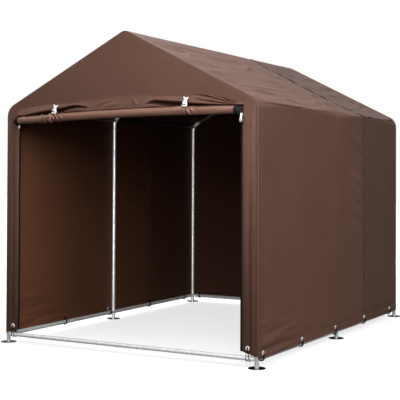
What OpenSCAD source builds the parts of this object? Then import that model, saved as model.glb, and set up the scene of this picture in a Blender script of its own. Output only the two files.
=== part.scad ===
// Fabric bike shelter on a frame of slip-together steel tube, with its door rolled up.
// Millimetres, +Z up. The origin is on the ground under the middle of the frame and the doorway faces -Y.
// Three ribs, each of two feet, two posts, two eave elbows, two rafters and a ridge elbow, are joined by
// poles along the eaves and the ridge and by rails near the ground. The cover lies on the tubes.

/* [Frame] */
// Width across the frame, from post axis to post axis
frame_w = 1800; // [1400:10:2400]
// Distance from one rib to the next
bay = 1205; // [900:5:1500]
// Height at which a post axis and a rafter axis would cross
eave_h = 1510; // [1200:10:2000]
// Slope of the roof in degrees
roof_pitch = 26.7; // [18:0.1:38]

/* [Tube] */
// Outside diameter of the frame tube
tube_d = 25.4; // [22:0.1:32]
// Wall of the frame tube and of its spigots
tube_wall = 1; // [0.8:0.1:2]
// Length of a spigot inside the tube that slips over it
spigot_l = 60; // [30:1:100]
// Radial gap between a spigot and its tube
spigot_gap = 0.25; // [0.1:0.05:0.4]
// Gap between the shoulder of a fitting and the end of its tube
shoulder_gap = 0.3; // [0.1:0.1:0.8]

/* [Elbows] */
// Bend radius of an eave elbow at the tube axis
eave_bend_r = 75; // [50:1:120]
// Bend radius of a ridge elbow at the tube axis
ridge_bend_r = 45; // [35:1:90]
// Straight leg between a bend and the shoulder of its spigot
elbow_leg = 22; // [20:1:90]

/* [Feet] */
// Diameter of the round base plate
foot_plate_d = 100; // [80:1:160]
// Thickness of the base plate
foot_plate_t = 3; // [2:0.5:8]
// Height of the shoulder that a post stands on
foot_h = 110; // [90:1:180]
// Height of the ground rail axis
rail_h = 52; // [40:1:70]

/* [Cover] */
// Thickness of the cover as modelled
cover_t = 1.6; // [0.8:0.1:2.4]
// Gap between the cover and the tubes it lies on
cover_gap = 0.3; // [0.1:0.1:0.8]
// Gap along a seam between two panels of the cover
seam_gap = 0.2; // [0.1:0.1:0.6]
// Height of the hem of the side walls and the back wall
hem_h = 58; // [30:1:70]
// Height of the hem of a front strip at its corner post
front_hem_h = 66; // [60:1:120]
// How much higher the slanted hem of a front strip is at the doorway
front_hem_rise = 25; // [0:1:40]
// Width of the strip beside the doorway
strip_w = 100; // [70:1:250]
// Drop from the eave crossing to the lower edge of the front gable
gable_drop = 14; // [0:1:40]

/* [Rolled door] */
// Outside diameter of the rolled door
roll_d = 56; // [40:1:70]
// Distance from one layer of the roll to the next
roll_pitch = 6; // [4:0.5:9]
// Number of turns in the roll
roll_turns = 3.5; // [2:0.5:3.5]
// Width of a zip tape
zip_w = 12; // [8:1:24]
// Gap between the end of the roll and the zip tape on the strip
roll_end_gap = 3; // [1:0.5:10]

/* [Straps] */
// Distance of the left strap from the middle of the door
strap_left_x = 510; // [300:5:700]
// Distance of the right strap from the middle of the door
strap_right_x = 445; // [300:5:700]
// Width of the strap webbing
strap_w = 24; // [15:1:40]
// Thickness of the strap webbing
strap_t = 1.2; // [0.8:0.1:2]
// Height of a buckle
buckle_h = 58; // [48:1:80]
// Width of a buckle across its horns and its foot
buckle_w = 34; // [28:1:48]
// Thickness of a buckle
buckle_t = 5; // [3:0.5:8]
// Width of the rounded bars of a buckle
buckle_bar = 8; // [6:0.5:10]
// Width of the waist between a buckle's horns and its foot
buckle_waist_w = 20; // [16:0.5:24]
// Height of a buckle's horns above its waist
buckle_horn_h = 12; // [8:1:16]
// Height of the open slot for the webbing in a buckle's foot
buckle_slot_h = 7; // [4:0.5:9]

/* [Grommets and ties] */
// Outside diameter of a grommet
grommet_d = 28; // [22:0.5:34]
// Diameter of the hole through a grommet
grommet_hole_d = 11; // [8:0.5:13]
// Thickness of a grommet flange
grommet_flange_t = 1; // [0.6:0.1:2]
// Height of a grommet axis above the hem of the side walls and the back wall
grommet_rise = 29; // [20:1:60]
// Height of a grommet axis above the hem of a front strip
grommet_front_rise = 23; // [20:1:60]
// Distance of the first side grommet from the front posts
grommet_first = 50; // [30:1:120]
// Distance of the last side grommet from the back posts
grommet_last = 152; // [30:1:200]
// Number of grommets along a side
side_grommets = 5; // [3:1:7]
// Distance of a front grommet from the doorway edge of its strip
grommet_front_in = 28; // [18:1:50]
// Distance of an outer back grommet from the corner post
grommet_back_in = 72; // [30:1:150]
// Diameter of a tie cord
tie_d = 3.6; // [2:0.1:5]

/* [Hidden] */
$fn = 64;
bend_steps = 14;
roll_steps = 24;

RIBS = ["front", "middle", "back"];
SIDES = ["left", "right"];
side_sign = [-1, 1];
rib_y = [-bay, 0, bay];

half_w = frame_w / 2;
tube_r = tube_d / 2;
tube_bore = tube_d - 2 * tube_wall;
spigot_d = tube_bore - 2 * spigot_gap;
spigot_bore = spigot_d - 2 * tube_wall;
saddle_sink = 0.5;
saddle = sqrt(pow(tube_r, 2) - pow(spigot_d / 2, 2)) - saddle_sink;
cut_over = 1;
bead_w = 3;
bead_t = 0.4;
weld_gap = 0.4;

// Bends at the eaves and the ridge, how far each reaches along its tubes, and where the poles meet them
ridge_h = eave_h + half_w * tan(roof_pitch);
rafter_run = half_w / cos(roof_pitch);
eave_turn = 90 - roof_pitch;
eave_reach = eave_bend_r * tan(eave_turn / 2);
ridge_reach = ridge_bend_r * tan(roof_pitch);
eave_start_h = eave_h - eave_reach;
eave_bend_x = half_w - eave_bend_r;
ridge_bend_h = ridge_h - ridge_bend_r / cos(roof_pitch);
ridge_pole_h = ridge_bend_h + ridge_bend_r;
eave_pole_x = eave_bend_x + eave_bend_r * cos(eave_turn / 2);
eave_pole_h = eave_start_h + eave_bend_r * sin(eave_turn / 2);

// Faces of the cover, measured out from the tube axes
cover_in = tube_r + cover_gap;
cover_mid = cover_in + cover_t / 2;
cover_out = cover_in + cover_t;
panel_off = cover_in - seam_gap;
panel_half_w = half_w + panel_off;
cover_half_l = bay + cover_out;
strip_in_x = panel_half_w - strip_w;
doorway_hem_h = front_hem_h + front_hem_rise;
wall_top_h = eave_start_h - seam_gap;

// Rolled door, hung in its straps under the gable edge
gable_bottom_h = eave_h - gable_drop;
roll_r = roll_d / 2;
roll_h = gable_bottom_h - strap_t - 2 * cover_gap - roll_r;
roll_y = -(bay + cover_mid);
roll_layer_t = cover_t;
zip_edge_x = strip_in_x - zip_w;
roll_half_l = zip_edge_x - roll_end_gap;
strap_x = [-strap_left_x, strap_right_x];
strap_face_y = -(bay + cover_out + cover_gap);
buckle_gap = 0.3;
buckle_bottom_h = gable_bottom_h + cover_gap;
horn_splay = 30;

// Grommets sit in the hem, and each tie runs through one and round the rail behind it
grommet_gap = 0.1;
grommet_barrel_t = 1.5;
grommet_barrel_r = grommet_hole_d / 2 + grommet_barrel_t;
grommet_half_t = cover_t / 2 + grommet_gap + grommet_flange_t;
hem_hole_r = grommet_barrel_r + 2 * grommet_gap;
side_grommet_h = hem_h + grommet_rise;
front_grommet_h = doorway_hem_h - front_hem_rise * grommet_front_in / strip_w + grommet_front_rise;
side_grommet_span = 2 * bay - grommet_first - grommet_last;
side_grommet_y = [
    for (i = [0:side_grommets - 1]) -bay + grommet_first + i * side_grommet_span / (side_grommets - 1)
];
back_grommet_span = 2 * (half_w - grommet_back_in);
back_grommet_x = [for (i = [0:3]) -back_grommet_span / 2 + i * back_grommet_span / 3];
front_grommet_x = strip_in_x + grommet_front_in;
tie_gap = 0.3;
tie_bend_r = 3;
tie_back_r = 6;
tie_rail_r = cover_mid + grommet_half_t + tie_gap + tie_d / 2;

steel = "silver";
cloth = "#64463a";
tape = "#1c1a1b";

// Points on an arc, from angle a to angle b
function arc(x, y, r, a, b) = [
    for (i = [0:bend_steps])
        let (t = a + (b - a) * i / bend_steps)
            [x + r * cos(t), y + r * sin(t)]
];

// Cross-section line of the roof, off millimetres outside the tube axes, from the right eave to the left one
function roof_line(off) = concat(
    arc(eave_bend_x, eave_start_h, eave_bend_r + off, 0, eave_turn),
    arc(0, ridge_bend_h, ridge_bend_r + off, 90 - roof_pitch, 90 + roof_pitch),
    arc(-eave_bend_x, eave_start_h, eave_bend_r + off, 180 - eave_turn, 180)
);

function backwards(points) = [for (i = [len(points) - 1:-1:0]) points[i]];

// Points along one face of the roll, off millimetres from the middle of its layer
function roll_line(off) = [
    for (i = [0:roll_steps * roll_turns])
        let (turn = i / roll_steps)
            let (r = roll_r - roll_layer_t / 2 - roll_pitch * (roll_turns - turn) + off)
                r * [cos(90 + 360 * (turn - roll_turns)), sin(90 + 360 * (turn - roll_turns))]
];

// Moves its children to a side of the shelter: 1 is the right as drawn and -1 its mirror image
module on_side(sign) {
    if (sign > 0) {
        children();
    } else {
        mirror([1, 0, 0]) children();
    }
}

// Draws a cross-section in X and Z as a slab of the given thickness, from face y towards +Y
module slab(y, thickness) {
    translate([0, y + thickness, 0]) rotate([90, 0, 0]) linear_extrude(thickness) children();
}

// Rod or tube from the origin along Z
module tube(length, outer, bore) {
    difference() {
        cylinder(d = outer, h = length);
        translate([0, 0, -cut_over]) cylinder(d = bore, h = length + 2 * cut_over);
    }
}

// Hollow leg of a fitting from the origin along Z: a straight of full diameter, then the swaged spigot
module leg(straight) {
    rotate_extrude() polygon([
        [spigot_bore / 2, 0],
        [tube_r, 0],
        [tube_r, straight],
        [spigot_d / 2, straight],
        [spigot_d / 2, straight + spigot_l],
        [spigot_bore / 2, straight + spigot_l]
    ]);
}

// Welded stub that a pole or rail slips over, along Z from a tube axis, saddled on the tube's wall
module stub() {
    translate([0, 0, saddle]) tube(tube_r - saddle + spigot_l, spigot_d, spigot_bore);
}

// Quarter turns that point Z along an axis
module along_y(sign) {
    rotate([-90 * sign, 0, 0]) children();
}

module along_x(sign) {
    rotate([0, 90 * sign, 0]) children();
}

// Ways along Y in which a rib has neighbours: the front rib looks back, the back rib forward
function neighbours(rib) = rib == 0 ? [1] : rib == 2 ? [-1] : [-1, 1];

// Base plate, upright and spigot turned in one, with a stub for each rail that meets the foot
module foot(rib, side) {
    color(steel)
    on_side(side_sign[side]) translate([half_w, rib_y[rib], 0]) {
        rotate_extrude() polygon([
            [0, 0],
            [foot_plate_d / 2, 0],
            [foot_plate_d / 2, foot_plate_t],
            [tube_r, foot_plate_t],
            [tube_r, foot_h],
            [spigot_d / 2, foot_h],
            [spigot_d / 2, foot_h + spigot_l],
            [spigot_bore / 2, foot_h + spigot_l],
            [spigot_bore / 2, foot_plate_t],
            [0, foot_plate_t]
        ]);
        for (way = neighbours(rib)) translate([0, 0, rail_h]) along_y(way) stub();
        if (rib != 1) translate([0, 0, rail_h]) along_x(-1) stub();
    }
}

module post(rib, side) {
    bottom = foot_h + shoulder_gap;
    top = eave_start_h - elbow_leg - shoulder_gap;
    color(steel)
    on_side(side_sign[side]) translate([half_w, rib_y[rib], bottom]) tube(top - bottom, tube_d, tube_bore);
}

// Bend in X and Z round the origin, from angle a through the given turn
module bend(radius, a, turn) {
    rotate([90, 0, 0]) rotate([0, 0, a]) rotate_extrude(angle = turn) translate([radius, 0]) children();
}

// Cross-section of a fitting's tube
module fitting_ring() {
    difference() {
        circle(d = tube_d);
        circle(d = spigot_bore);
    }
}

// Leg of an elbow, from the origin along Z, with the weld bead that joins it to the bend
module welded_leg() {
    translate([0, 0, weld_gap]) leg(elbow_leg - weld_gap);
    translate([0, 0, -bead_w / 2]) tube(bead_w, tube_d + 2 * bead_t, spigot_bore - 2 * bead_t);
}

// Bent fitting in X and Z round the centre of its bend, from angle a through the given turn: a leg on from
// each end of the bend, and a stub half way for each pole that meets it
module elbow(radius, a, turn, ways) {
    bend(radius, a, turn) fitting_ring();
    rotate([0, -a, 0]) translate([radius, 0, 0]) rotate([180, 0, 0]) welded_leg();
    rotate([0, -a - turn, 0]) translate([radius, 0, 0]) welded_leg();
    rotate([0, -a - turn / 2, 0]) translate([radius, 0, 0]) for (way = ways) along_y(way) stub();
}

module eave_elbow(rib, side) {
    color(steel)
    on_side(side_sign[side]) translate([eave_bend_x, rib_y[rib], eave_start_h])
        elbow(eave_bend_r, 0, eave_turn, neighbours(rib));
}

module rafter(rib, side) {
    start = eave_reach + elbow_leg + shoulder_gap;
    end = rafter_run - ridge_reach - elbow_leg - shoulder_gap;
    color(steel)
    on_side(side_sign[side]) translate([half_w, rib_y[rib], eave_h]) rotate([0, -eave_turn, 0])
        translate([0, 0, start]) tube(end - start, tube_d, tube_bore);
}

module ridge_elbow(rib) {
    color(steel)
    translate([0, rib_y[rib], ridge_bend_h])
        elbow(ridge_bend_r, 90 - roof_pitch, 2 * roof_pitch, neighbours(rib));
}

// The two tubes between the ribs on one line along the shelter
module pole_pair(x, z) {
    end = tube_r + shoulder_gap;
    for (y = [-bay, 0]) translate([x, y + end, z]) along_y(1) tube(bay - 2 * end, tube_d, tube_bore);
}

module ridge_poles() {
    color(steel) pole_pair(0, ridge_pole_h);
}

module eave_poles() {
    color(steel) for (sign = side_sign) pole_pair(sign * eave_pole_x, eave_pole_h);
}

module ground_rail_across(rib) {
    end = half_w - tube_r - shoulder_gap;
    color(steel) translate([-end, rib_y[rib], rail_h]) along_x(1) tube(2 * end, tube_d, tube_bore);
}

module ground_rails(side) {
    color(steel) pole_pair(side_sign[side] * half_w, rail_h);
}

// One sheet from eave to eave, bent over the ridge
module roof_cover() {
    color(cloth) slab(-cover_half_l, 2 * cover_half_l)
        polygon(concat(roof_line(cover_in), backwards(roof_line(cover_out))));
}

module side_wall(side) {
    color(cloth)
    on_side(side_sign[side]) difference() {
        translate([half_w + cover_in, -cover_half_l, hem_h]) cube([cover_t, 2 * cover_half_l, wall_top_h - hem_h]);
        for (y = side_grommet_y)
            translate([half_w, y, side_grommet_h]) along_x(1) cylinder(r = hem_hole_r, h = 2 * cover_out);
    }
}

module back_wall() {
    color(cloth) difference() {
        slab(bay + cover_in, cover_t)
            polygon(concat(roof_line(panel_off), [[-panel_half_w, hem_h], [panel_half_w, hem_h]]));
        for (x = back_grommet_x)
            translate([x, bay, side_grommet_h]) along_y(1) cylinder(r = hem_hole_r, h = 2 * cover_out);
    }
}

// Front panel over the doorway, with an ear down each side that meets its strip
module front_gable() {
    opening = [
        [-strip_in_x, eave_start_h],
        [-strip_in_x, gable_bottom_h],
        [strip_in_x, gable_bottom_h],
        [strip_in_x, eave_start_h]
    ];
    color(cloth) slab(-bay - cover_out, cover_t) polygon(concat(roof_line(panel_off), opening));
}

// Strips beside the doorway, with a hem that slants down to the corner post
module front_strips() {
    outline = [
        [strip_in_x, doorway_hem_h],
        [panel_half_w, front_hem_h],
        [panel_half_w, wall_top_h],
        [strip_in_x, wall_top_h]
    ];
    color(cloth) for (sign = side_sign) on_side(sign) difference() {
        slab(-bay - cover_out, cover_t) polygon(outline);
        translate([front_grommet_x, -bay, front_grommet_h]) along_y(-1) cylinder(r = hem_hole_r, h = 2 * cover_out);
    }
}

// Spiral layer of the rolled door between two distances from the middle, drawn on the right
module roll(from, to) {
    translate([from, roll_y, roll_h]) rotate([90, 0, 90]) linear_extrude(to - from)
        polygon(concat(roll_line(-roll_layer_t / 2), backwards(roll_line(roll_layer_t / 2))));
}

module rolled_door() {
    end = roll_half_l - zip_w;
    color(cloth) roll(-end, end);
}

// Zip tapes on the doorway edges of the strips and, rolled up with it, on the ends of the door
module door_zips() {
    color(tape) for (sign = side_sign) {
        on_side(sign) translate([zip_edge_x, -bay - cover_out, doorway_hem_h])
            cube([zip_w - seam_gap, cover_t, wall_top_h - doorway_hem_h]);
        if (sign > 0) {
            roll(roll_half_l - zip_w + seam_gap, roll_half_l);
        } else {
            roll(-roll_half_l, -roll_half_l + zip_w - seam_gap);
        }
    }
}

// Webbing loop round the roll, with a tail sewn up the face of the gable behind the buckle
module door_straps() {
    loop_r = roll_r + cover_gap;
    color(cloth) for (x = strap_x) translate([x - strap_w / 2, 0, 0]) {
        translate([0, roll_y, roll_h]) along_x(1) tube(strap_w, 2 * (loop_r + strap_t), 2 * loop_r);
        translate([0, strap_face_y - strap_t, roll_h + loop_r]) cube([strap_w, strap_t, buckle_h]);
    }
}

// Outline of a flat hook, anticlockwise from its foot: two horns, a waist, and a slot that is open at the left
function buckle_outline() =
    let (r = buckle_bar / 2)
    let (x = buckle_w / 2 - r)
    let (waist_x = buckle_waist_w / 2)
    let (shoulder_h = 3 * r + buckle_slot_h)
    let (fork_h = buckle_h - buckle_horn_h)
    let (slot_r = buckle_slot_h / 2)
    concat(
        arc(x, r, r, -90, 0),
        arc(x, shoulder_h, r, 0, 90),
        [[waist_x, shoulder_h + 2 * r], [waist_x, fork_h - r]],
        arc(x, buckle_h - r, r, -horn_splay, 90 + horn_splay),
        [[0, fork_h]],
        arc(-x, buckle_h - r, r, 90 - horn_splay, 180 + horn_splay),
        [[-waist_x, fork_h - r], [-waist_x, shoulder_h + 2 * r]],
        arc(-x, shoulder_h, r, 90, 270),
        arc(x - r - slot_r, buckle_bar + slot_r, slot_r, 90, -90),
        arc(-x, r, r, 90, 270)
    );

module strap_buckles() {
    color("white") for (x = strap_x)
        translate([x, strap_face_y - strap_t - buckle_gap, buckle_bottom_h]) slab(-buckle_t, buckle_t)
            polygon(buckle_outline());
}

// Moves its children, drawn beside the right wall's rail at the front, to every grommet of the hem
module at_side_grommets() {
    for (sign = side_sign) on_side(sign) for (y = side_grommet_y) translate([half_w, y, 0]) children();
    for (x = back_grommet_x) translate([x, bay, 0]) rotate([0, 0, 90]) children();
}

module at_front_grommets() {
    for (sign = side_sign) on_side(sign) translate([front_grommet_x, -bay, 0]) rotate([0, 0, -90]) children();
}

// Pressed ring with a flange on each face of the hem
module grommet(height) {
    hole_r = grommet_hole_d / 2;
    flange_in = grommet_half_t - grommet_flange_t;
    translate([cover_mid, 0, height]) along_x(1) rotate_extrude() polygon([
        [hole_r, -grommet_half_t],
        [grommet_d / 2, -grommet_half_t],
        [grommet_d / 2, -flange_in],
        [grommet_barrel_r, -flange_in],
        [grommet_barrel_r, flange_in],
        [grommet_d / 2, flange_in],
        [grommet_d / 2, grommet_half_t],
        [hole_r, grommet_half_t]
    ]);
}

module hem_grommets() {
    color("gainsboro") {
        at_side_grommets() grommet(side_grommet_h);
        at_front_grommets() grommet(front_grommet_h);
    }
}

// Cord loop in X and Z: round the rail, up the face of the hem and back in through the grommet
module tie(height) {
    translate([0, 0, rail_h]) bend(tie_rail_r, 180, 180) circle(d = tie_d);
    translate([tie_rail_r, 0, rail_h]) cylinder(d = tie_d, h = height - tie_bend_r - rail_h);
    translate([tie_rail_r - tie_bend_r, 0, height - tie_bend_r]) bend(tie_bend_r, 0, 90) circle(d = tie_d);
    translate([tie_back_r - tie_rail_r, 0, height]) along_x(1)
        cylinder(d = tie_d, h = 2 * tie_rail_r - tie_bend_r - tie_back_r);
    translate([tie_back_r - tie_rail_r, 0, height - tie_back_r]) bend(tie_back_r, 90, 90) circle(d = tie_d);
    translate([-tie_rail_r, 0, rail_h]) cylinder(d = tie_d, h = height - tie_back_r - rail_h);
}

module hem_ties() {
    color(tape) {
        at_side_grommets() tie(side_grommet_h);
        at_front_grommets() tie(front_grommet_h);
    }
}

for (r = [0:2]) {
    for (s = [0:1]) {
        foot(r, s);
        post(r, s);
        eave_elbow(r, s);
        rafter(r, s);
    }
    ridge_elbow(r);
}
ridge_poles();
eave_poles();
ground_rail_across(0);  // ground_rail_front
ground_rail_across(2);  // ground_rail_back
ground_rails(0);  // ground_rails_left
ground_rails(1);  // ground_rails_right
roof_cover();
side_wall(0);  // left_wall
side_wall(1);  // right_wall
back_wall();
front_gable();
front_strips();
rolled_door();
door_zips();
door_straps();
strap_buckles();
hem_grommets();
hem_ties();
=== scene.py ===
import math

import bpy
import numpy as np
from mathutils import Matrix, Vector, noise


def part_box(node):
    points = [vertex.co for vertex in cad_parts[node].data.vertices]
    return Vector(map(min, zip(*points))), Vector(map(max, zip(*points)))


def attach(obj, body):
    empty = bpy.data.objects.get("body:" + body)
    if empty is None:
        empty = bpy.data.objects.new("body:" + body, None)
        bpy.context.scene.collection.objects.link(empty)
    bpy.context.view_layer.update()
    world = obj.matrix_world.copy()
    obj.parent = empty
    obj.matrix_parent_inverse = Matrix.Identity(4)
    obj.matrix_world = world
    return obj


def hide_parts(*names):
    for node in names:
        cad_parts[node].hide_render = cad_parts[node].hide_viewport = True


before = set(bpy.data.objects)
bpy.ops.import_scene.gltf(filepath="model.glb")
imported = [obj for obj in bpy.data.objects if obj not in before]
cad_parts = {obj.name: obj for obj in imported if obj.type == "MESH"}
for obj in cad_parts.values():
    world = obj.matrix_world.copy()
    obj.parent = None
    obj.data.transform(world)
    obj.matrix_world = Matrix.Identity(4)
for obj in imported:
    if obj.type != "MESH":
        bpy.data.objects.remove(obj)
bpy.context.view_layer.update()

# Frame tubes
# Posts, rafters, poles, rails and bent fittings are galvanised steel tube, slipped together on swaged ends.
# Their solids already have the real shape, so here they only get the finish of hot-dip zinc;
# the tubes under the roof get a darker copy of it, as painted shade.


def linear(hex_colour):
    """Linear RGBA of an sRGB colour such as #c8cacb."""
    channels = [int(hex_colour[i:i + 2], 16) / 255 for i in (1, 3, 5)]
    return [c / 12.92 if c <= 0.04045 else ((c + 0.055) / 1.055) ** 2.4 for c in channels] + [1]


def feed(tree, node, inputs):
    """Sets a node's inputs; each is a value or a (node, output) pair to link."""
    for name, value in inputs.items():
        if isinstance(value, tuple):
            tree.links.new(value[0].outputs[value[1]], node.inputs[name])
        else:
            node.inputs[name].default_value = value


def add(tree, kind, inputs=None, **settings):
    """Adds a node with its settings and its inputs."""
    made = tree.nodes.new(kind)
    for name, value in settings.items():
        setattr(made, name, value)
    feed(tree, made, inputs or {})
    return made


def new_material(name, metallic, roughness):
    """A material with its node tree and its shader."""
    made = bpy.data.materials.new(name)
    made.use_nodes = True
    shader = made.node_tree.nodes["Principled BSDF"]
    feed(made.node_tree, shader, {"Metallic": metallic, "Roughness": roughness})
    return made, made.node_tree, shader


def galvanised_steel(name, pale_hex, dull_hex, bare, smooth_below):
    """Hot-dip zinc: crystals about 9 mm across between two greys, and gloss in patches about 30 mm across.
    bare is the share of clean metal in its sheen. Below a height it is smooth bare metal, almost a mirror."""
    made, tree, shader = new_material(name, bare, 0.3)
    place = add(tree, "ShaderNodeTexCoord")
    crystals = add(tree, "ShaderNodeTexVoronoi", {"Vector": (place, "Object"), "Scale": 1 / 0.009})
    zinc = add(tree, "ShaderNodeMix", {
        "Factor": (crystals, "Color"),
        6: linear(dull_hex),
        7: linear(pale_hex),
    }, data_type="RGBA")
    height = add(tree, "ShaderNodeSeparateXYZ", {0: (place, "Object")})
    low = add(tree, "ShaderNodeMath", {0: (height, "Z"), 1: smooth_below}, operation="LESS_THAN")
    tone = add(tree, "ShaderNodeMix", {
        "Factor": (low, 0),
        6: (zinc, 2),
        7: linear("#a2a5a7"),
    }, data_type="RGBA")
    patches = add(tree, "ShaderNodeTexNoise", {"Vector": (place, "Object"), "Scale": 1 / 0.03, "Detail": 4.0})
    gloss = add(tree, "ShaderNodeMapRange", {0: (patches, 0), 3: 0.22, 4: 0.44})
    finish = add(tree, "ShaderNodeMix", {"Factor": (low, 0), 2: (gloss, 0), 3: 0.1}, data_type="FLOAT")
    metal = add(tree, "ShaderNodeMapRange", {0: (low, 0), 3: bare, 4: 1.0})
    grain = add(tree, "ShaderNodeBump", {"Strength": 0.25, "Distance": 0.0004, "Height": (patches, 0)})
    feed(tree, shader, {
        "Base Color": (tone, 2),
        "Roughness": (finish, 0),
        "Metallic": (metal, 0),
        "Normal": (grain, 0),
    })
    return made


def finish_node(name, material):
    """Gives a solid of the frame its finish."""
    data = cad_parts[name].data
    data.materials.clear()
    data.materials.append(material)


RIBS = ("front", "middle", "back")
SIDES = ("left", "right")
below_ground = -1.0
tube_steel = galvanised_steel("galvanised_steel_tube", "#eeefef", "#cacccd", 0.5, below_ground)
# The tubes under the roof get a darker copy of the zinc: painted shade.
roof_steel_painted_shade = galvanised_steel("galvanised_steel_roof_tube_painted_shade", "#a3a6a8", "#7d8082", 1.0, below_ground)
for rib in RIBS:
    finish_node(f"ridge_elbow_{rib}", roof_steel_painted_shade)
    for side in SIDES:
        finish_node(f"post_{rib}_{side}", tube_steel)
        finish_node(f"eave_elbow_{rib}_{side}", tube_steel)
        finish_node(f"rafter_{rib}_{side}", roof_steel_painted_shade)
for line in ("ground_rail_front", "ground_rail_back", "ground_rails_left", "ground_rails_right"):
    finish_node(line, tube_steel)
for line in ("ridge_poles", "eave_poles"):
    finish_node(line, roof_steel_painted_shade)

# Feet
# A round pressed base plate with a short upright welded on, and stubs for the rails.
# The plate is smooth, so it mirrors the upright and the dark cover beside it.
plate_top_h = 0.004
foot_steel = galvanised_steel("galvanised_steel_foot", "#eeefef", "#cacccd", 0.5, plate_top_h)
for rib in RIBS:
    for side in SIDES:
        finish_node(f"foot_{rib}_{side}", foot_steel)

# Joint screws
# Self-drilling screws with round heads, which hold each tube on the swaged end inside it.
# One sits near each end of a post and a rafter, on the side that faces the middle of the shelter.


def deselect_all():
    """Deselects everything, so that the next operator acts on its own piece alone."""
    bpy.ops.object.select_all(action="DESELECT")


def turned(name, profile, steps):
    """A closed profile of (radius, height) points turned round the Z axis."""
    deselect_all()
    bpy.ops.mesh.primitive_circle_add(vertices=len(profile), fill_type="NOTHING")
    piece = bpy.context.object
    piece.name = name
    for vertex, (radius, height) in zip(piece.data.vertices, profile):
        vertex.co = (radius, 0, height)
    bpy.ops.object.mode_set(mode="EDIT")
    bpy.ops.mesh.select_all(action="SELECT")
    bpy.ops.mesh.spin(steps=steps, angle=2 * math.pi, center=(0, 0, 0), axis=(0, 0, 1))
    bpy.ops.mesh.select_all(action="SELECT")
    bpy.ops.mesh.remove_doubles(threshold=1e-6)
    bpy.ops.mesh.normals_make_consistent(inside=False)
    bpy.ops.object.mode_set(mode="OBJECT")
    return piece


def join(pieces, name):
    """Joins pieces into one mesh."""
    deselect_all()
    for piece in pieces:
        piece.select_set(True)
    bpy.context.view_layer.objects.active = pieces[0]
    bpy.ops.object.join()
    joined = bpy.context.object
    joined.name = name
    return joined


def copies(piece, places):
    """One mesh with a copy of a piece at each place, a matrix; the piece itself is used up."""
    made = []
    for place in places:
        copy = piece.copy()
        copy.data = piece.data.copy()
        copy.data.transform(place)
        bpy.context.collection.objects.link(copy)
        made.append(copy)
    name = piece.name
    bpy.data.objects.remove(piece)
    return join(made, name)


def dress(piece, material):
    """Gives a piece its material, and lets it ride on the frame."""
    piece.data.materials.clear()
    piece.data.materials.append(material)
    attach(piece, "root")


def pointing(direction, at):
    """The place of a piece that was made along Z at the origin."""
    turn = Vector((0, 0, 1)).rotation_difference(Vector(direction)).to_matrix().to_4x4()
    return Matrix.Translation(Vector(at)) @ turn


post_low, post_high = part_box("post_front_right")
tube_r = (post_high.x - post_low.x) / 2
half_w = (post_high.x + post_low.x) / 2
bay = -(post_high.y + post_low.y) / 2
rafter_low, rafter_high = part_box("rafter_front_right")
screw_in = 0.012
screw_r = 0.0042
screw_profile = [
    (0.0, -0.002), (screw_r, -0.002), (screw_r, 0.0007), (0.85 * screw_r, 0.0018),
    (0.5 * screw_r, 0.0026), (0.0, 0.0028),
]
roof_pitch = math.radians(26.7)
screw_places = []
for y in (-bay, 0, bay):
    for sign in (-1, 1):
        for z in (post_low.z + screw_in, post_high.z - screw_in):
            screw_places.append(pointing((-sign, 0, 0), (sign * (half_w - tube_r), y, z)))
        down = Vector((-sign * math.sin(roof_pitch), 0, -math.cos(roof_pitch)))
        along = Vector((-sign * math.cos(roof_pitch), 0, math.sin(roof_pitch)))
        low_end = Vector((sign * (rafter_high.x - tube_r * math.sin(roof_pitch)), y,
                          rafter_low.z + tube_r * math.cos(roof_pitch)))
        high_end = Vector((sign * (rafter_low.x + tube_r * math.sin(roof_pitch)), y,
                           rafter_high.z - tube_r * math.cos(roof_pitch)))
        screw_places.append(pointing(down, low_end + along * screw_in + down * tube_r))
        screw_places.append(pointing(down, high_end - along * screw_in + down * tube_r))
screws = copies(turned("joint_screws", screw_profile, 16), screw_places)
dress(screws, tube_steel)

# Roof
# Two widths of coated woven fabric, sewn with a seam across, in one sheet from eave to eave.
# It lies on the ribs, the ridge pole and the eave poles, and the walls hang from its edges.
fabric_t = 0.001
lay_gap = 0.0006
lay_r = tube_r + lay_gap
eave_bend_r = 0.075
ridge_bend_r = 0.045
crease_turn = (math.pi / 2 - roof_pitch) / 2
eave_low, eave_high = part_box("eave_poles")
eave_pole = (eave_high.x - tube_r, (eave_low.z + eave_high.z) / 2)
ridge_low, ridge_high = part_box("ridge_poles")
ridge_pole_h = (ridge_low.z + ridge_high.z) / 2
eave_bend = (eave_pole[0] - eave_bend_r * math.cos(crease_turn),
             eave_pole[1] - eave_bend_r * math.sin(crease_turn))
ridge_bend_h = ridge_pole_h - ridge_bend_r
rib_reach = 0.2
cross_seam_y = 0.505
lap_w = 0.022
rim_turn = math.radians(35)
rim_stitch_in = 0.008


def ripple(u, v, seed):
    """Smooth noise at points that are given in wavelengths."""
    values = [noise.noise((a, b, seed)) for a, b in zip(u.ravel(), v.ravel())]
    return np.array(values).reshape(u.shape)


def crease(u, v, seed):
    """Narrow raised lines, 0 to 1, like the creases of a sheet that was folded."""
    return np.clip(1 - 3.2 * np.abs(ripple(u, v, seed)), 0, 1) ** 2


def step(x, low, high):
    """0 below low, 1 above high, and smooth between."""
    t = np.clip((x - low) / (high - low), 0, 1)
    return t * t * (3 - 2 * t)


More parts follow.
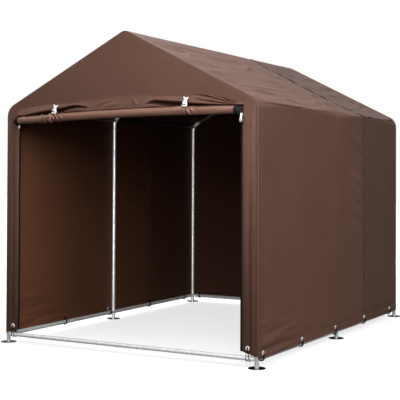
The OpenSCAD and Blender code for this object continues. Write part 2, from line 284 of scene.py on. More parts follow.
def sheet_columns(spacing):
    """Places along the shelter, closer at the seams, and each one's distance from the tube axes.
    The edges go a little way round the end ribs, to the seams with the end panels."""
    at_seam = cross_seam_y + np.linspace(-0.03, 0.04, 21)
    at_rim = bay - np.array([0.016, 0.013, 0.0105, 0.008, 0.0055, 0.003])
    even = np.linspace(-bay, bay, round(2 * bay / spacing))
    far = (even < at_seam[0] - 0.003) | (even > at_seam[-1] + 0.003)
    far &= (np.abs(even) < at_rim[0] - 0.003) | (np.abs(even) > bay - 1e-6)
    inner = np.sort(np.concatenate([even[far], at_seam, at_rim, -at_rim]))
    wrap = rim_turn * np.array([1.0, 0.67, 0.33])
    y = np.concatenate([-bay - lay_r * np.sin(wrap), inner, bay + lay_r * np.sin(wrap[::-1])])
    gap = np.concatenate([lay_r * np.cos(wrap), np.full(len(inner), lay_r), lay_r * np.cos(wrap[::-1])])
    return y, gap


def groove(x, at, width):
    """A narrow line, 1 at its middle, such as a row of stitches pulls into the cloth."""
    return np.exp(-((x - at) / width) ** 2)


def lapped_seam(y):
    """How far the cross seam stands off the sheet: a lapped band between two stitched lines."""
    far_edge = cross_seam_y + lap_w
    band = step(y, cross_seam_y, cross_seam_y + 0.004) * (1 - step(y, far_edge, far_edge + 0.004))
    return 0.0024 * band - 0.0016 * groove(y, cross_seam_y, 0.004) - 0.0014 * groove(y, far_edge, 0.003)


def rim_painted_shade(y):
    """How much painted shade the roof and the walls get at their edges along the end ribs, beside the piping.
    """
    return step(np.abs(y), bay - rim_stitch_in, bay - 0.004)


def rim_stitch(y):
    """The stitched line that holds the roof or a wall to an end panel, 1 on the line."""
    return groove(np.abs(y), bay - rim_stitch_in, 0.003)


def rim_edge(y):
    """1 at the sewn edges along the end ribs, where the cover has no folds, and 0 further in."""
    return step(np.abs(y), bay - 0.02, bay + 0.004)


def rib_distance(y):
    """How far a place along the shelter lies from the nearest rib."""
    return np.minimum(np.abs(np.abs(y) - bay), np.abs(y))


def rib_hold(y):
    """1 on a rib, where the cover follows its round elbows, and near 0 between ribs."""
    nearest = np.where(np.abs(y) > bay, 0, rib_distance(y))
    return np.exp(-(nearest / rib_reach) ** 2)


def on_rib(y):
    """1 where a rib's tube lies right under the cover."""
    return np.exp(-(rib_distance(y) / 0.02) ** 2)


def supports(y, gap):
    """Circles that the cover lies on at each place: at the eave and at the ridge, as (x, z, radius)."""
    hold = rib_hold(y)
    eave = (eave_pole[0] - eave_bend_r * hold * math.cos(crease_turn),
            eave_pole[1] - eave_bend_r * hold * math.sin(crease_turn), gap + eave_bend_r * hold)
    ridge = (np.zeros_like(y), ridge_pole_h - ridge_bend_r * hold, gap + ridge_bend_r * hold)
    return eave, ridge


def tangent_turn(first, second):
    """Angle of the outward normal of the line that lies on two circles."""
    dx = second[0] - first[0]
    dz = second[1] - first[1]
    return np.arctan2(dz, dx) - np.arccos((first[2] - second[2]) / np.hypot(dx, dz))


def arc_rows(circle, start, end, shares):
    """Rows of points round a circle: x, z and the angle of the outward normal."""
    turn = start + (end - start) * np.array(shares)[:, None]
    return circle[0] + circle[2] * np.cos(turn), circle[1] + circle[2] * np.sin(turn), turn


def line_rows(start, end, turn, shares):
    """Rows of points from one row's point to another's."""
    share = np.array(shares)[:, None]
    return (start[0] + (end[0] - start[0]) * share, start[1] + (end[1] - start[1]) * share,
            np.broadcast_to(turn, (len(shares), len(turn))))


def stacked(*parts):
    """Several groups of rows as one."""
    return tuple(np.concatenate(rows) for rows in zip(*parts))


def distance_along(x, z):
    """How far each point lies along its column."""
    steps = np.hypot(np.diff(x, axis=0), np.diff(z, axis=0))
    return np.concatenate([np.zeros((1, x.shape[1])), np.cumsum(steps, axis=0)])


def sheet_mesh(name, x, y, z, u, v, painted_shade=None):
    """A sheet of cloth whose points are given row by row; its UV map holds metres on the flat cloth.
    Its last argument, 0 to 1, says where the cloth's material darkens it as painted shade."""
    rows, columns = x.shape
    deselect_all()
    bpy.ops.mesh.primitive_grid_add(x_subdivisions=columns - 1, y_subdivisions=rows - 1)
    piece = bpy.context.object
    piece.name = name
    piece.data.vertices.foreach_set("co", np.stack([x, y, z], axis=-1).ravel())
    corners = np.empty(len(piece.data.loops), dtype=int)
    piece.data.loops.foreach_get("vertex_index", corners)
    flat = np.stack([u.ravel(), v.ravel()], axis=-1)[corners]
    piece.data.uv_layers[0].data.foreach_set("uv", flat.ravel())
    if painted_shade is not None:
        painted_shade_layer = piece.data.attributes.new("painted_shade", "FLOAT", "POINT")
        painted_shade_layer.data.foreach_set("value", np.broadcast_to(painted_shade, x.shape).ravel())
    piece.data.update()
    return piece


def select_only(piece):
    """Makes a piece the only selected one, and the active one."""
    deselect_all()
    piece.select_set(True)
    bpy.context.view_layer.objects.active = piece


def thicken(piece, thickness, inner_material=0):
    """Gives a sheet its thickness, half to each side. With inner_material 1 its inner face gets the next
    material."""
    select_only(piece)
    bpy.ops.object.modifier_add(type="SOLIDIFY")
    solid = piece.modifiers[-1]
    solid.thickness = thickness
    solid.offset = 0.0
    solid.use_even_offset = False
    solid.material_offset = inner_material
    bpy.ops.object.modifier_apply(modifier=solid.name)
    bpy.ops.object.shade_smooth_by_angle(angle=math.radians(50))


def coated_fabric(name, face_hex, far_panel_shade_hex, sheen, roughness):
    """Woven polyethylene with a satin coating: a fine weave, a broad soft sheen and slightly cloudy colour.
    The panel behind the cross seam is painted darker and greyer as painted shade, and the cloth is painted
    darker still, as painted shade, where the sheet's shade layer says: along its seams and rims and low on
    the front strips.
    Threads lie 1.6 mm apart; the seam's dark line, partly stitches and partly painted shade, is dashed 7 mm
    long and drawn 5 mm wide, so that it shows."""
    made, tree, shader = new_material(name, 0.0, roughness)
    place = add(tree, "ShaderNodeTexCoord")
    spot = add(tree, "ShaderNodeSeparateXYZ", {0: (place, "Object")})
    # Painted shade: behind the cross seam the colour is darker and greyer.
    behind = add(tree, "ShaderNodeMapRange", {0: (spot, "Y"), 1: cross_seam_y, 2: cross_seam_y + 0.002})
    cloud = add(tree, "ShaderNodeTexNoise", {"Vector": (place, "Object"), "Scale": 1 / 0.35, "Detail": 3.0})
    panel = add(tree, "ShaderNodeMix", {
        "Factor": (behind, 0),
        6: linear(face_hex),
        7: linear(far_panel_shade_hex),
    }, data_type="RGBA")
    flat = add(tree, "ShaderNodeSeparateXYZ", {0: (place, "UV")})
    # Painted shade: the sheet's per-point layer darkens the cloth by up to 45 per cent, along seams and rims
    # and low on the front strips.
    painted_shade_layer = add(tree, "ShaderNodeAttribute", attribute_name="painted_shade")
    painted_shade = add(tree, "ShaderNodeMapRange", {0: (painted_shade_layer, "Fac"), 3: 1.0, 4: 0.55})
    depth = add(tree, "ShaderNodeMapRange", {0: (cloud, 0), 1: 0.3, 2: 0.7, 3: 0.94, 4: 1.06})
    shade = add(tree, "ShaderNodeMath", {0: (depth, 0), 1: (painted_shade, 0)}, operation="MULTIPLY")
    colour = add(tree, "ShaderNodeVectorMath", {0: (panel, 2), 1: (shade, 0)}, operation="MULTIPLY")
    # The cross seam's dashed dark line is partly stitches and partly painted shade.
    stitch_l = 0.007
    beat = add(tree, "ShaderNodeMath", {0: (flat, "Y"), 1: stitch_l}, operation="PINGPONG")
    dash = add(tree, "ShaderNodeMath", {0: (beat, 0), 1: 0.25 * stitch_l}, operation="GREATER_THAN")
    row_y = cross_seam_y + 0.0015
    row = add(tree, "ShaderNodeMath", {0: (spot, "Y"), 1: row_y, 2: 0.0025}, operation="COMPARE")
    stitch_shade_line = add(tree, "ShaderNodeMath", {0: (dash, 0), 1: (row, 0)}, operation="MULTIPLY")
    stitched_shade_colour = add(tree, "ShaderNodeMix", {
        "Factor": (stitch_shade_line, 0),
        6: (colour, 0),
        7: linear("#1d1310"),
    }, data_type="RGBA")
    wave_scale = 0.314 / 0.0016
    warp = add(tree, "ShaderNodeTexWave", {"Vector": (place, "UV"), "Scale": wave_scale}, bands_direction="X")
    weft = add(tree, "ShaderNodeTexWave", {"Vector": (place, "UV"), "Scale": wave_scale}, bands_direction="Y")
    weave = add(tree, "ShaderNodeMath", {0: (warp, 1), 1: (weft, 1)}, operation="MAXIMUM")
    relief = add(tree, "ShaderNodeBump", {"Strength": 0.3, "Distance": 0.00012, "Height": (weave, 0)})
    feed(tree, shader, {"Specular IOR Level": sheen, "Base Color": (stitched_shade_colour, 2), "Normal": (relief, 0)})
    return made


cover_cloth = coated_fabric("coated_fabric_face", "#5e4237", "#553e36", 0.2, 0.5)
# The inside face is painted lighter and warmer than the outside face: painted light inside the shelter.
lining_painted_lighter = coated_fabric("coated_fabric_inside_painted_lighter", "#6b4430", "#5d3c2c", 0.2, 0.6)


def dress_cover(piece, face):
    """Gives a sheet of the cover its thickness, its two faces and its place."""
    dress(piece, face)
    piece.data.materials.append(lining_painted_lighter)
    thicken(piece, fabric_t, 1)


def away_from_tubes(lift, touch):
    """Lets folds go either way in the open, but only outwards where a tube lies under the sheet."""
    return lift * (1 - touch) + np.abs(lift) * touch


roof_y, roof_gap = sheet_columns(0.015)
eave, ridge = supports(roof_y, roof_gap)
slope_turn = tangent_turn(eave, ridge)
arc_shares = np.linspace(0, 1, 7)
eave_arc = arc_rows(eave, np.full_like(roof_y, crease_turn), slope_turn, arc_shares)
ridge_arc = arc_rows(ridge, slope_turn, np.full_like(roof_y, math.pi / 2), arc_shares)
slope = line_rows((eave_arc[0][-1], eave_arc[1][-1]), (ridge_arc[0][0], ridge_arc[1][0]), slope_turn,
                  np.linspace(0, 1, 110)[1:-1])
half_x, half_z, half_turn = stacked(eave_arc, slope, ridge_arc)
half_run = distance_along(half_x, half_z)
column_y = np.broadcast_to(roof_y, half_x.shape)
from_rib = rib_distance(column_y)
in_bay = 1 - np.exp(-(from_rib / 0.11) ** 2)
up_slope = half_run / half_run[-1]
on_pole = np.maximum(1 - step(half_run, 0.0, 0.05), step(up_slope, 0.94, 1.0))
touch = np.maximum(on_rib(column_y), on_pole)
near_front = np.exp(-((column_y + bay) / 0.4) ** 2)
near_seam = np.exp(-np.abs(column_y - cross_seam_y) / 0.09) * np.where(column_y > cross_seam_y, 1.0, 0.15)


def roof_lift(seed, wrinkled):
    """How far the roof stands off its smooth form on one slope: sag, long folds, creases and seam puckers.
    wrinkled scales the folds and the creases."""
    sag = -0.013 * in_bay * np.sin(math.pi * np.clip(up_slope, 0, 1)) ** 0.7
    folds = (0.003 + 0.0016 * near_front) * ripple((column_y + 0.2 * half_run) / 0.9, half_run / 0.036, seed)
    soft = 0.006 * in_bay * ripple(column_y / 0.5, half_run / 0.3, seed + 3)
    pucker = 0.011 * near_seam * ripple(column_y / 0.15, half_run / 0.045, seed + 7)
    creases = 0.005 * crease((column_y + 0.4 * half_run) / 0.5, half_run / 0.16, seed + 11)
    at_ridge = step(up_slope, 0.86, 0.97)
    off_rib = step(from_rib, 0.0, 0.09) * step(np.abs(cross_seam_y - 0.03 - column_y), 0.03, 0.14)
    loose = away_from_tubes(sag + wrinkled * (folds + creases) * off_rib + soft + pucker, touch)
    loose = loose * (1 - rim_edge(column_y)) * (1 - 0.85 * at_ridge)
    return loose + (2.0 - 0.8 * at_ridge) * lapped_seam(column_y) - 0.002 * rim_stitch(column_y)


right_lift = roof_lift(1.7, 1.8)
left_lift = roof_lift(31.2, 0.9)
middle_share = step(up_slope, 0.85, 1.0)
right_lift = right_lift * (1 - middle_share) + 0.5 * (right_lift + left_lift) * middle_share
left_lift = left_lift * (1 - middle_share) + right_lift * middle_share
right_x = half_x + right_lift * np.cos(half_turn)
right_z = half_z + right_lift * np.sin(half_turn)
left_x = -half_x - left_lift * np.cos(half_turn)
left_z = half_z + left_lift * np.sin(half_turn)
roof_x = np.concatenate([right_x, left_x[-2::-1]])
roof_z = np.concatenate([right_z, left_z[-2::-1]])
roof_run = np.concatenate([half_run, 2 * half_run[-1] - half_run[-2::-1]])
roof_columns = np.broadcast_to(roof_y, roof_x.shape)
roof = sheet_mesh("roof", roof_x, roof_columns, roof_z, roof_columns, roof_run, rim_painted_shade(roof_y))
dress_cover(roof, cover_cloth)
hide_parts("roof_cover")

# Side walls
# Each wall is one sheet that hangs from the eave seam outside the posts, down to a folded and sewn hem.
# The hem has grommets, whose ties pull it down to the ground rail.
wall_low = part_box("right_wall")[0]
rail_low, rail_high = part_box("ground_rails_right")
rail_h = (rail_low.z + rail_high.z) / 2
wall_hem_h = wall_low.z - 0.006
hem_band = 0.046
grommet_first = 0.050
grommet_last = 0.152
grommet_y = np.linspace(-bay + grommet_first, bay - grommet_last, 5)
wall_y, wall_gap = sheet_columns(0.0125)
wall_eave = supports(wall_y, wall_gap)[0]
rail_line = (np.full_like(wall_y, half_w), np.full_like(wall_y, rail_h), wall_gap)
wall_turn = tangent_turn(rail_line, wall_eave)
wall_arc = arc_rows(wall_eave, wall_turn, np.full_like(wall_y, crease_turn), arc_shares)
wall_drop = 1.455
hem_rows = np.concatenate([np.linspace(0, hem_band - 0.004, 6), hem_band + np.linspace(-0.002, 0.006, 5)])
upper_rows = np.linspace(hem_band + 0.014, wall_drop - 0.015, 150)
wall_shares = np.concatenate([hem_rows, upper_rows]) / wall_drop


def side_wall(name, node, sign, seed):
    """One side wall, as it hangs from the eave: sign is 1 on the right and -1 on the left."""
    hem_sway = 0.003 * ripple(wall_y / 0.3, np.zeros_like(wall_y), seed + 5)
    start = (rail_line[0] + wall_gap * np.cos(wall_turn), np.full_like(wall_y, wall_hem_h) + hem_sway)
    straight = line_rows(start, (wall_arc[0][0], wall_arc[1][0]), wall_turn, wall_shares)
    x, z, turn = stacked(straight, wall_arc)
    run = distance_along(x, z)
    y = np.broadcast_to(wall_y, x.shape)
    up = np.clip(run / run[-1], 0, 1)
    mid_bay = np.sin(math.pi * np.clip((y + bay) / bay, 0, 2)) ** 2
    on_rail = 1 - step(run, 0.0, 0.05)
    held = np.maximum(np.maximum(on_rib(y), on_rail), step(up, 0.95, 1.0))
    # Slack in the middle of each bay, and slow waves over the whole wall
    lift = -0.005 * mid_bay * np.sin(math.pi * up)
    lift += 0.005 * ripple(y / 0.9, run / 0.8, seed) * np.sin(math.pi * np.clip(up, 0.05, 0.95))
    # Slanting folds that run into the cross seam from both sides, and short puckers along it
    before = step(y, 0.0, 0.42) * (1 - step(y, cross_seam_y - 0.01, cross_seam_y)) * step(up, 0.25, 0.6)
    lift += 0.007 * before * ripple((run + 0.36 * y) / 0.06, y / 0.4, seed + 2)
    behind = np.exp(-np.abs(y - cross_seam_y) / 0.1) * (y > cross_seam_y)
    lift += 0.005 * behind * ripple((run - 0.3 * y) / 0.06, y / 0.3, seed + 3)
    lift += 0.003 * groove(y, cross_seam_y, 0.016) * ripple(np.zeros_like(y), run / 0.03, seed + 8)
    # Small folds over the hem, flatter where a tie pulls it down, and longer ones at the low front corner
    tie_pull = sum(groove(y, tie_y, 0.07) for tie_y in grommet_y)
    low_folds = (1 - step(run, 0.03, 0.2)) * (1 - 0.6 * tie_pull)
    lift += 0.005 * low_folds * ripple(y / 0.16, run / 0.06, seed + 4)
    corner = (1 - step(y, -bay + 0.25, -bay + 0.7)) * (1 - step(run, 0.1, 0.35))
    lift += 0.008 * corner * ripple(y / 0.5, (run - 0.05 * y) / 0.035, seed + 6)
    # A hollow beside the end posts, and faint creases from the packing
    lift -= 0.004 * groove(np.abs(y), bay - 0.06, 0.04) * (1 - step(up, 0.3, 0.75))
    lift = away_from_tubes(lift + 0.0012 * crease(y / 0.5, run / 0.6, seed + 9), held)
    # The sewn edges lie flat. On top come the cross seam and the stitches of the hem, the eave and the rim
    lift *= 1 - rim_edge(y)
    lift += lapped_seam(y) - 0.001 * groove(run, hem_band, 0.0025) - 0.0007 * step(up, 0.988, 1.0)
    lift -= 0.002 * rim_stitch(y)
    x = x + lift * np.cos(turn)
    z = z + lift * np.sin(turn)
    if sign > 0:
        piece = sheet_mesh(name, x, y, z, y, run, rim_painted_shade(wall_y))
    else:
        piece = sheet_mesh(name, -x[:, ::-1], y[:, ::-1], z[:, ::-1], y[:, ::-1], run[:, ::-1],
                           rim_painted_shade(wall_y)[::-1])
    dress_cover(piece, cover_cloth)
    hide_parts(node)


side_wall("right_wall_cloth", "right_wall", 1, 4.4)
side_wall("left_wall_cloth", "left_wall", -1, 61.3)

# Back wall
# One plain panel that closes the back, sewn to the roof and the side walls round the back rib.
# It hangs to the same hem as the side walls.


def outline_distance(x, z):
    """How far a point lies outside the axis line of a rib, negative inside it."""
    x = np.abs(x)
    wall = x - half_w
    slope_out = (x - eave_pole[0]) * math.sin(roof_pitch) + (z - eave_pole[1]) * math.cos(roof_pitch)
    slope_out = slope_out - eave_bend_r * (1 - math.cos(crease_turn))
    bend = np.hypot(x - eave_bend[0], z - eave_bend[1]) - eave_bend_r
    at = np.arctan2(z - eave_bend[1], x - eave_bend[0])
    in_bend = (at > 0) & (at < 2 * crease_turn) & (x > eave_bend[0])
    ridge_out = np.hypot(x, z - ridge_bend_h) - ridge_bend_r
    in_ridge = (z > ridge_bend_h) & (np.arctan2(x, z - ridge_bend_h) < roof_pitch)
    rest = np.maximum(wall, slope_out)
    return np.where(in_ridge, ridge_out, np.where(in_bend, bend, rest))


def outline_height(x, out):
    """Height of the line that lies out beyond the axis line of a rib, over each x."""
    low = np.full_like(x, eave_bend[1])
    high = np.full_like(x, ridge_pole_h + 0.05)
    for _ in range(40):
        middle = (low + high) / 2
        inside = outline_distance(x, middle) < out
        low = np.where(inside, middle, low)
        high = np.where(inside, high, middle)
    return low


def end_face(x, z):
    """How far an end panel stands out from the rib's axis plane: flat inside, round the tube at its rim."""
    out = np.clip(outline_distance(x, z), 0, 0.999 * lay_r)
    return np.sqrt(lay_r ** 2 - out ** 2)


def folded_face(x, z, fold):
    """How far an end panel with folds stands out; it lies close on the rib and is free further in."""
    held = np.exp(-(np.maximum(-outline_distance(x, z), 0) / 0.03) ** 2)
    return end_face(x, z) + away_from_tubes(fold, held) * (1 - held)


rim_out = lay_r * math.cos(rim_turn)


def panel_rim_painted_shade(x, z):
    """How much painted shade an end panel gets: a dark line just inside its rim, where it is stitched."""
    return groove(rim_out - outline_distance(x, z), 0.0045, 0.0035)


def panel_grid(x, bottom, rows):
    """Points of an end panel, column by column from its lower edge up to the rim."""
    top = outline_height(x, rim_out)
    share = np.linspace(0, 1, rows)[:, None]
    rim = np.array([0.0, 0.003, 0.006, 0.009, 0.012, 0.016])[::-1, None] / math.cos(roof_pitch)
    body = bottom + (top - rim[0] - bottom) * share
    z = np.concatenate([body[:-1], top - rim])
    return np.broadcast_to(x, z.shape), z


def panel_columns(low, high, count):
    """Columns between two distances from the middle, closer near the posts."""
    plain = np.linspace(low, high, count)
    near = half_w + rim_out * np.array([-0.3, 0.0, 0.25, 0.45, 0.6, 0.75, 0.85, 0.93])
    near = np.concatenate([near, -near])
    near = near[(near > low + 1e-4) & (near < high - 1e-4)]
    return np.sort(np.concatenate([plain, near]))


edge_x = half_w + rim_out
back_columns = panel_columns(-edge_x, edge_x, 150)
back_x, back_z = panel_grid(back_columns, np.full_like(back_columns, wall_hem_h), 170)
back_rise = 1.9
back_up = (back_z - wall_hem_h) / back_rise
# Slow waves and slack, small folds over the hem, long folds at the low corners, and faint creases
back_fold = 0.005 * ripple(back_x / 0.9, back_z / 0.8, 13.1) - 0.006 * np.cos(back_x / half_w * math.pi / 2)
back_fold += 0.005 * (1 - step(back_up, 0.0, 0.1)) * ripple(back_x / 0.16, back_z / 0.06, 15.7)
back_corner = step(np.abs(back_x), half_w - 0.6, half_w - 0.2) * (1 - step(back_up, 0.05, 0.18))
back_fold += 0.007 * back_corner * ripple(back_x / 0.5, (back_z + 0.05 * np.abs(back_x)) / 0.035, 16.9)
back_fold += 0.0012 * crease(back_x / 0.5, back_z / 0.6, 17.9)
back_out = folded_face(back_x, back_z, back_fold)
back = sheet_mesh("back_wall_cloth", -back_x, bay + back_out, back_z, -back_x, back_z,
                  panel_rim_painted_shade(back_x, back_z))
dress_cover(back, cover_cloth)
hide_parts("back_wall")

# Front panel
# The gable over the doorway and a strip down each side of it, cut from the same fabric.
# Its rim is sewn to the roof and the side walls round the front rib, and the strips have a slanted hem.
strip_low, strip_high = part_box("front_strips")
strip_in_x = 0.8128
corner_hem_h = strip_low.z
doorway_hem_h = corner_hem_h + 0.025
strip_w = half_w - strip_in_x
STRIPS = ((-1, "left", 41.0), (1, "right", 47.0))
fold_start = 0.014


def through(x, knots):
    """Heights on a smooth line through a few knots, as (x, height)."""
    at, height = zip(*knots)
    return sum(np.interp(x + reach, at, height) for reach in np.linspace(-0.03, 0.03, 9)) / 9


fold_line = ((-0.82, 1.503), (-0.68, 1.522), (-0.55, 1.532), (-0.39, 1.535), (-0.26, 1.545), (-0.12, 1.556),
             (0.11, 1.562), (0.34, 1.554), (0.50, 1.549), (0.61, 1.543), (0.70, 1.522), (0.82, 1.497))


def gable_edge(x):
    """Height at which the gable passes into the slack cloth over the rolled door, just over its fold."""
    return through(x, fold_line) + fold_start


def strip_fold(x, z, seed):
    """How far a front strip stands out: two soft upright folds and, low down, a sharp crease between them.
    High up, the right one leans out towards the doorway, where the roll pulls it."""
    share = np.clip((np.abs(x) - strip_in_x) / strip_w, 0, 1)
    split = 0.58 + 0.05 * np.sin(2.1 * z + seed) + 0.03 * np.sin(5.3 * z + 2 * seed)
    end = 0.93
    low_down = 1 - step(z, 0.6, 1.3)
    over_hem = 0.35 + 0.65 * step(z, 0.12, 0.3)
    inner = 0.0080 * np.sin(math.pi * np.clip(share / split, 0, 1)) ** 0.8 * over_hem
    outer = 0.0055 * np.sin(math.pi * np.clip((share - split) / (end - split), 0, 1)) ** 0.8
    valley = 0.0045 * low_down * groove(share, split, 0.06)
    valley -= 0.004 * (1 - low_down) * groove(share, split, 0.2)
    drift = 0.004 * ripple(x / 0.05, z / 0.35, seed) * step(end - share, 0, 0.3)
    upright = np.clip((1.52 - z) / 0.12, 0, 1)
    leaning = 0.015 * step(share, -0.02, 0.10) * np.clip(1 - share / end, 0, 1)
    lean = step(z, 0.75, 1.2) * (x > 0)
    return ((inner + outer - valley) * (1 - 0.6 * lean) + 0.85 * leaning * lean + drift) * upright


def front_strip(sign, seed):
    """One strip beside the doorway, from its slanted hem up to the roof seam.
    Low down it is painted darker, as painted shade.
    """
    x = panel_columns(strip_in_x, edge_x, 38) * sign
    bottom = corner_hem_h + (doorway_hem_h - corner_hem_h) * np.clip((half_w - np.abs(x)) / strip_w, 0, 1)
    x, z = panel_grid(np.sort(x), bottom[np.argsort(x)], 200)
    share = (np.abs(x) - strip_in_x) / strip_w
    by_stitches = groove(share, 0.12, 0.12) + groove(share, 0.8, 0.1)
    puckers = 0.0016 * ripple(x / 0.03, z / 0.024, seed + 5) * by_stitches
    out = end_face(x, z) + strip_fold(x, z, seed) + puckers
    # Painted shade: the strip is darkened towards the bottom.
    painted_low_shade = 0.92 * (1 - step(z, 0.1, 1.2))
    return sheet_mesh("front_strip", x, -bay - out, z, x, z, np.maximum(panel_rim_painted_shade(x, z), painted_low_shade))


gable_x = np.linspace(-strip_in_x, strip_in_x, 190)
gable_grid_x, gable_z = panel_grid(gable_x, gable_edge(gable_x), 44)
low_down = 1 - step(gable_z - gable_edge(gable_grid_x), 0.0, 0.12)
# Slow waves and upright folds, which fade where the gable passes into the slack cloth, and faint creases
gable_fold = 0.003 * ripple(gable_grid_x / 0.35, gable_z / 0.25, 21.3) * (1 - low_down)
gable_fold += 0.0025 * ripple(gable_grid_x / 0.085, gable_z / 0.7, 25.7) * (1 - low_down)
gable_fold += 0.0009 * crease(gable_grid_x / 0.3, gable_z / 0.22, 23.1)
gable_out = folded_face(gable_grid_x, gable_z, gable_fold)
gable = sheet_mesh("gable_panel", gable_grid_x, -bay - gable_out, gable_z, gable_grid_x, gable_z,
                   panel_rim_painted_shade(gable_grid_x, gable_z))
dress_cover(gable, cover_cloth)
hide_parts("front_gable")
for sign, side, seed in STRIPS:
    strip = front_strip(sign, seed)
    strip.name = f"front_strip_{side}"
    dress_cover(strip, cover_cloth)
    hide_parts("front_strips")

# Edge piping
# A welt of the same fabric round a cord, sewn into the seams between the roof, the walls and both end panels.
# It follows the rim of each end rib from hem to hem.


def tube_along(name, points, radius, sides):
    """A round cord or welt along points, as a mesh with closed ends."""
    curve = bpy.data.curves.new(name, "CURVE")
    curve.dimensions = "3D"
    spline = curve.splines.new("POLY")
    spline.points.add(len(points) - 1)
    for knot, point in zip(spline.points, points):
        knot.co = (*point, 1)
    curve.bevel_depth = radius
    curve.bevel_resolution = sides // 4
    curve.use_fill_caps = True
    piece = bpy.data.objects.new(name, curve)
    bpy.context.collection.objects.link(piece)
    select_only(piece)
    bpy.ops.object.convert(target="MESH")
    bpy.ops.object.shade_smooth_by_angle(angle=math.radians(60))
    return bpy.context.object


def rim_line(out, hem_h):
    """Points of a rib's rim, out beyond its axis line, from the right hem over the ridge to the left one."""
    points = [(half_w + out, z) for z in np.linspace(hem_h, eave_bend[1], 60)[:-1]]
    for turn in np.linspace(0, 2 * crease_turn, 14):
        points.append((eave_bend[0] + (eave_bend_r + out) * math.cos(turn),
                       eave_bend[1] + (eave_bend_r + out) * math.sin(turn)))
    for turn in np.linspace(math.pi / 2 - roof_pitch, math.pi / 2, 8):
        points.append(((ridge_bend_r + out) * math.cos(turn),
                       ridge_bend_h + (ridge_bend_r + out) * math.sin(turn)))
    return points + [(-x, z) for x, z in points[-2::-1]]


piping_r = 0.0022
piping_off = lay_r + 0.0014
piping = []
for sign in (-1, 1):
    rim_y = sign * (bay + piping_off * math.sin(rim_turn))
    rim = [(x, rim_y, z) for x, z in rim_line(piping_off * math.cos(rim_turn), wall_hem_h + 0.004)]
    piping.append(tube_along("edge_piping", rim, piping_r, 8))
edge_piping = join(piping, "edge_piping")
# The welt is painted lighter than the cover: a painted highlight on its round edge.
dress(edge_piping, coated_fabric("coated_fabric_welt_painted_lighter", "#735547", "#634a3f", 0.3, 0.4))

# Rolled door
# The door panel, of the cover's fabric, hangs slack from the gable and is rolled up outwards, about 14 turns,
# with its inside showing; the roll's cloth is painted lighter than the cover, as painted light on the roll.
# Two straps lift the roll, so that the slack cloth beside them folds over it and stays taut between them.
roll_half_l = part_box("rolled_door")[1].x
roll_turns = 14.0
roll_core_r = 0.004
strap_xs = (-0.510, 0.445)
roll_forward = 0.008
roll_left_x = -0.800
roll_right_x = 0.778


def roll_y(x):
    """Depth of the roll's axis: it stands out further at its ends, in front of the strips."""
    return -(bay + lay_r) - roll_forward - 0.010 * step(np.abs(x), 0.72, 0.80)


def roll_axis_h(x):
    """Height of the roll's axis, which droops at its left end."""
    return 1.465 + 0.018 * x - 0.022 * x ** 2


def roll_radius(x):
    """Outer radius of the roll, thinner at its ends and a little nipped by the straps."""
    ends = 0.004 * groove(x, -roll_half_l, 0.12) + 0.002 * groove(x, roll_half_l, 0.12)
    return 0.0262 - ends - 0.0014 * sum(groove(x, at, 0.016) for at in strap_xs)


def pinched(x, down):
    """Folds in the face of the roll: fans below both straps, and a crumpled stretch round the left one.
    down is the distance round the roll from its top."""
    folds = np.zeros(np.broadcast_shapes(x.shape, down.shape))
    for at in strap_xs:
        fan = np.arctan2(x - at, down + 0.014)
        reach = groove(x, at, 0.055) * step(down, 0.0, 0.012) * (1 - step(down, 0.04, 0.08))
        folds = folds + 0.0075 * reach * np.cos(16 * fan + 0.6)
    across = np.broadcast_to(x, folds.shape)
    around = np.broadcast_to(down, folds.shape)
    crumple = groove(across, -0.545, 0.085) + 0.55 * groove(across, -0.75, 0.06)
    folds = folds + 0.014 * crumple * ripple((across + 0.35 * around) / 0.018, around / 0.04, 71.0)
    return folds + 0.0016 * ripple(across / 0.14, around / 0.02, 73.0)


def roll_rows(x, first_turn, last_turn, rows, folded):
    """Rows of the roll's cloth, round its spiral from one turn to another; turn 0 is the core.
    The outermost turn ends at the back, where the slack cloth comes down."""
    turn = np.linspace(first_turn, last_turn, rows)[:, None]
    around = 2 * math.pi * (turn - roll_turns)
    radius = roll_core_r + (roll_radius(x) - roll_core_r) * turn / roll_turns
    if folded:
        down = radius * (around + 1.5 * math.pi)
        radius = radius + pinched(x, down) * step(down, -0.03, 0.0) * (1 - step(down, 0.09, 0.11))
    y = roll_y(x) + radius * np.cos(around)
    z = roll_axis_h(x) + radius * np.sin(around)
    return np.broadcast_to(x, y.shape), y, z, turn


def roll_sheet(name, x, first_turn, last_turn, rows, folded):
    """A stretch of the roll as a sheet whose face looks outwards."""
    px, py, pz, turn = roll_rows(x, first_turn, last_turn, rows, folded)
    along = np.broadcast_to(turn * 0.1, px.shape)
    return sheet_mesh(name, px[::-1], py[::-1], pz[::-1], px[::-1], along[::-1])


def smooth_rows(knots, rows):
    """Rows along a smooth curve through knots, for all columns at once."""
    knots = [2 * knots[0] - knots[1], *knots, 2 * knots[-1] - knots[-2]]
    spans = len(knots) - 3
    made = []
    for t in np.linspace(0, spans - 1e-9, rows):
        i = int(t)
        f = t - i
        a, b, c, d = knots[i:i + 4]
        made.append(0.5 * (2 * b + (c - a) * f + (2 * a - 5 * b + 4 * c - d) * f ** 2
                           + (3 * b - a - 3 * c + d) * f ** 3))
    return np.array(made)


def fold_between(x, z, start, end, width):
    """A soft raised fold along a line on the front, 1 on the line and fading towards its ends."""
    dx = end[0] - start[0]
    dz = end[1] - start[1]
    length = math.hypot(dx, dz)
    along = ((x - start[0]) * dx + (z - start[1]) * dz) / length ** 2
    off = ((z - start[1]) * dx - (x - start[0]) * dz) / length
    return groove(off, 0, width) * np.sin(math.pi * np.clip(along, 0, 1))


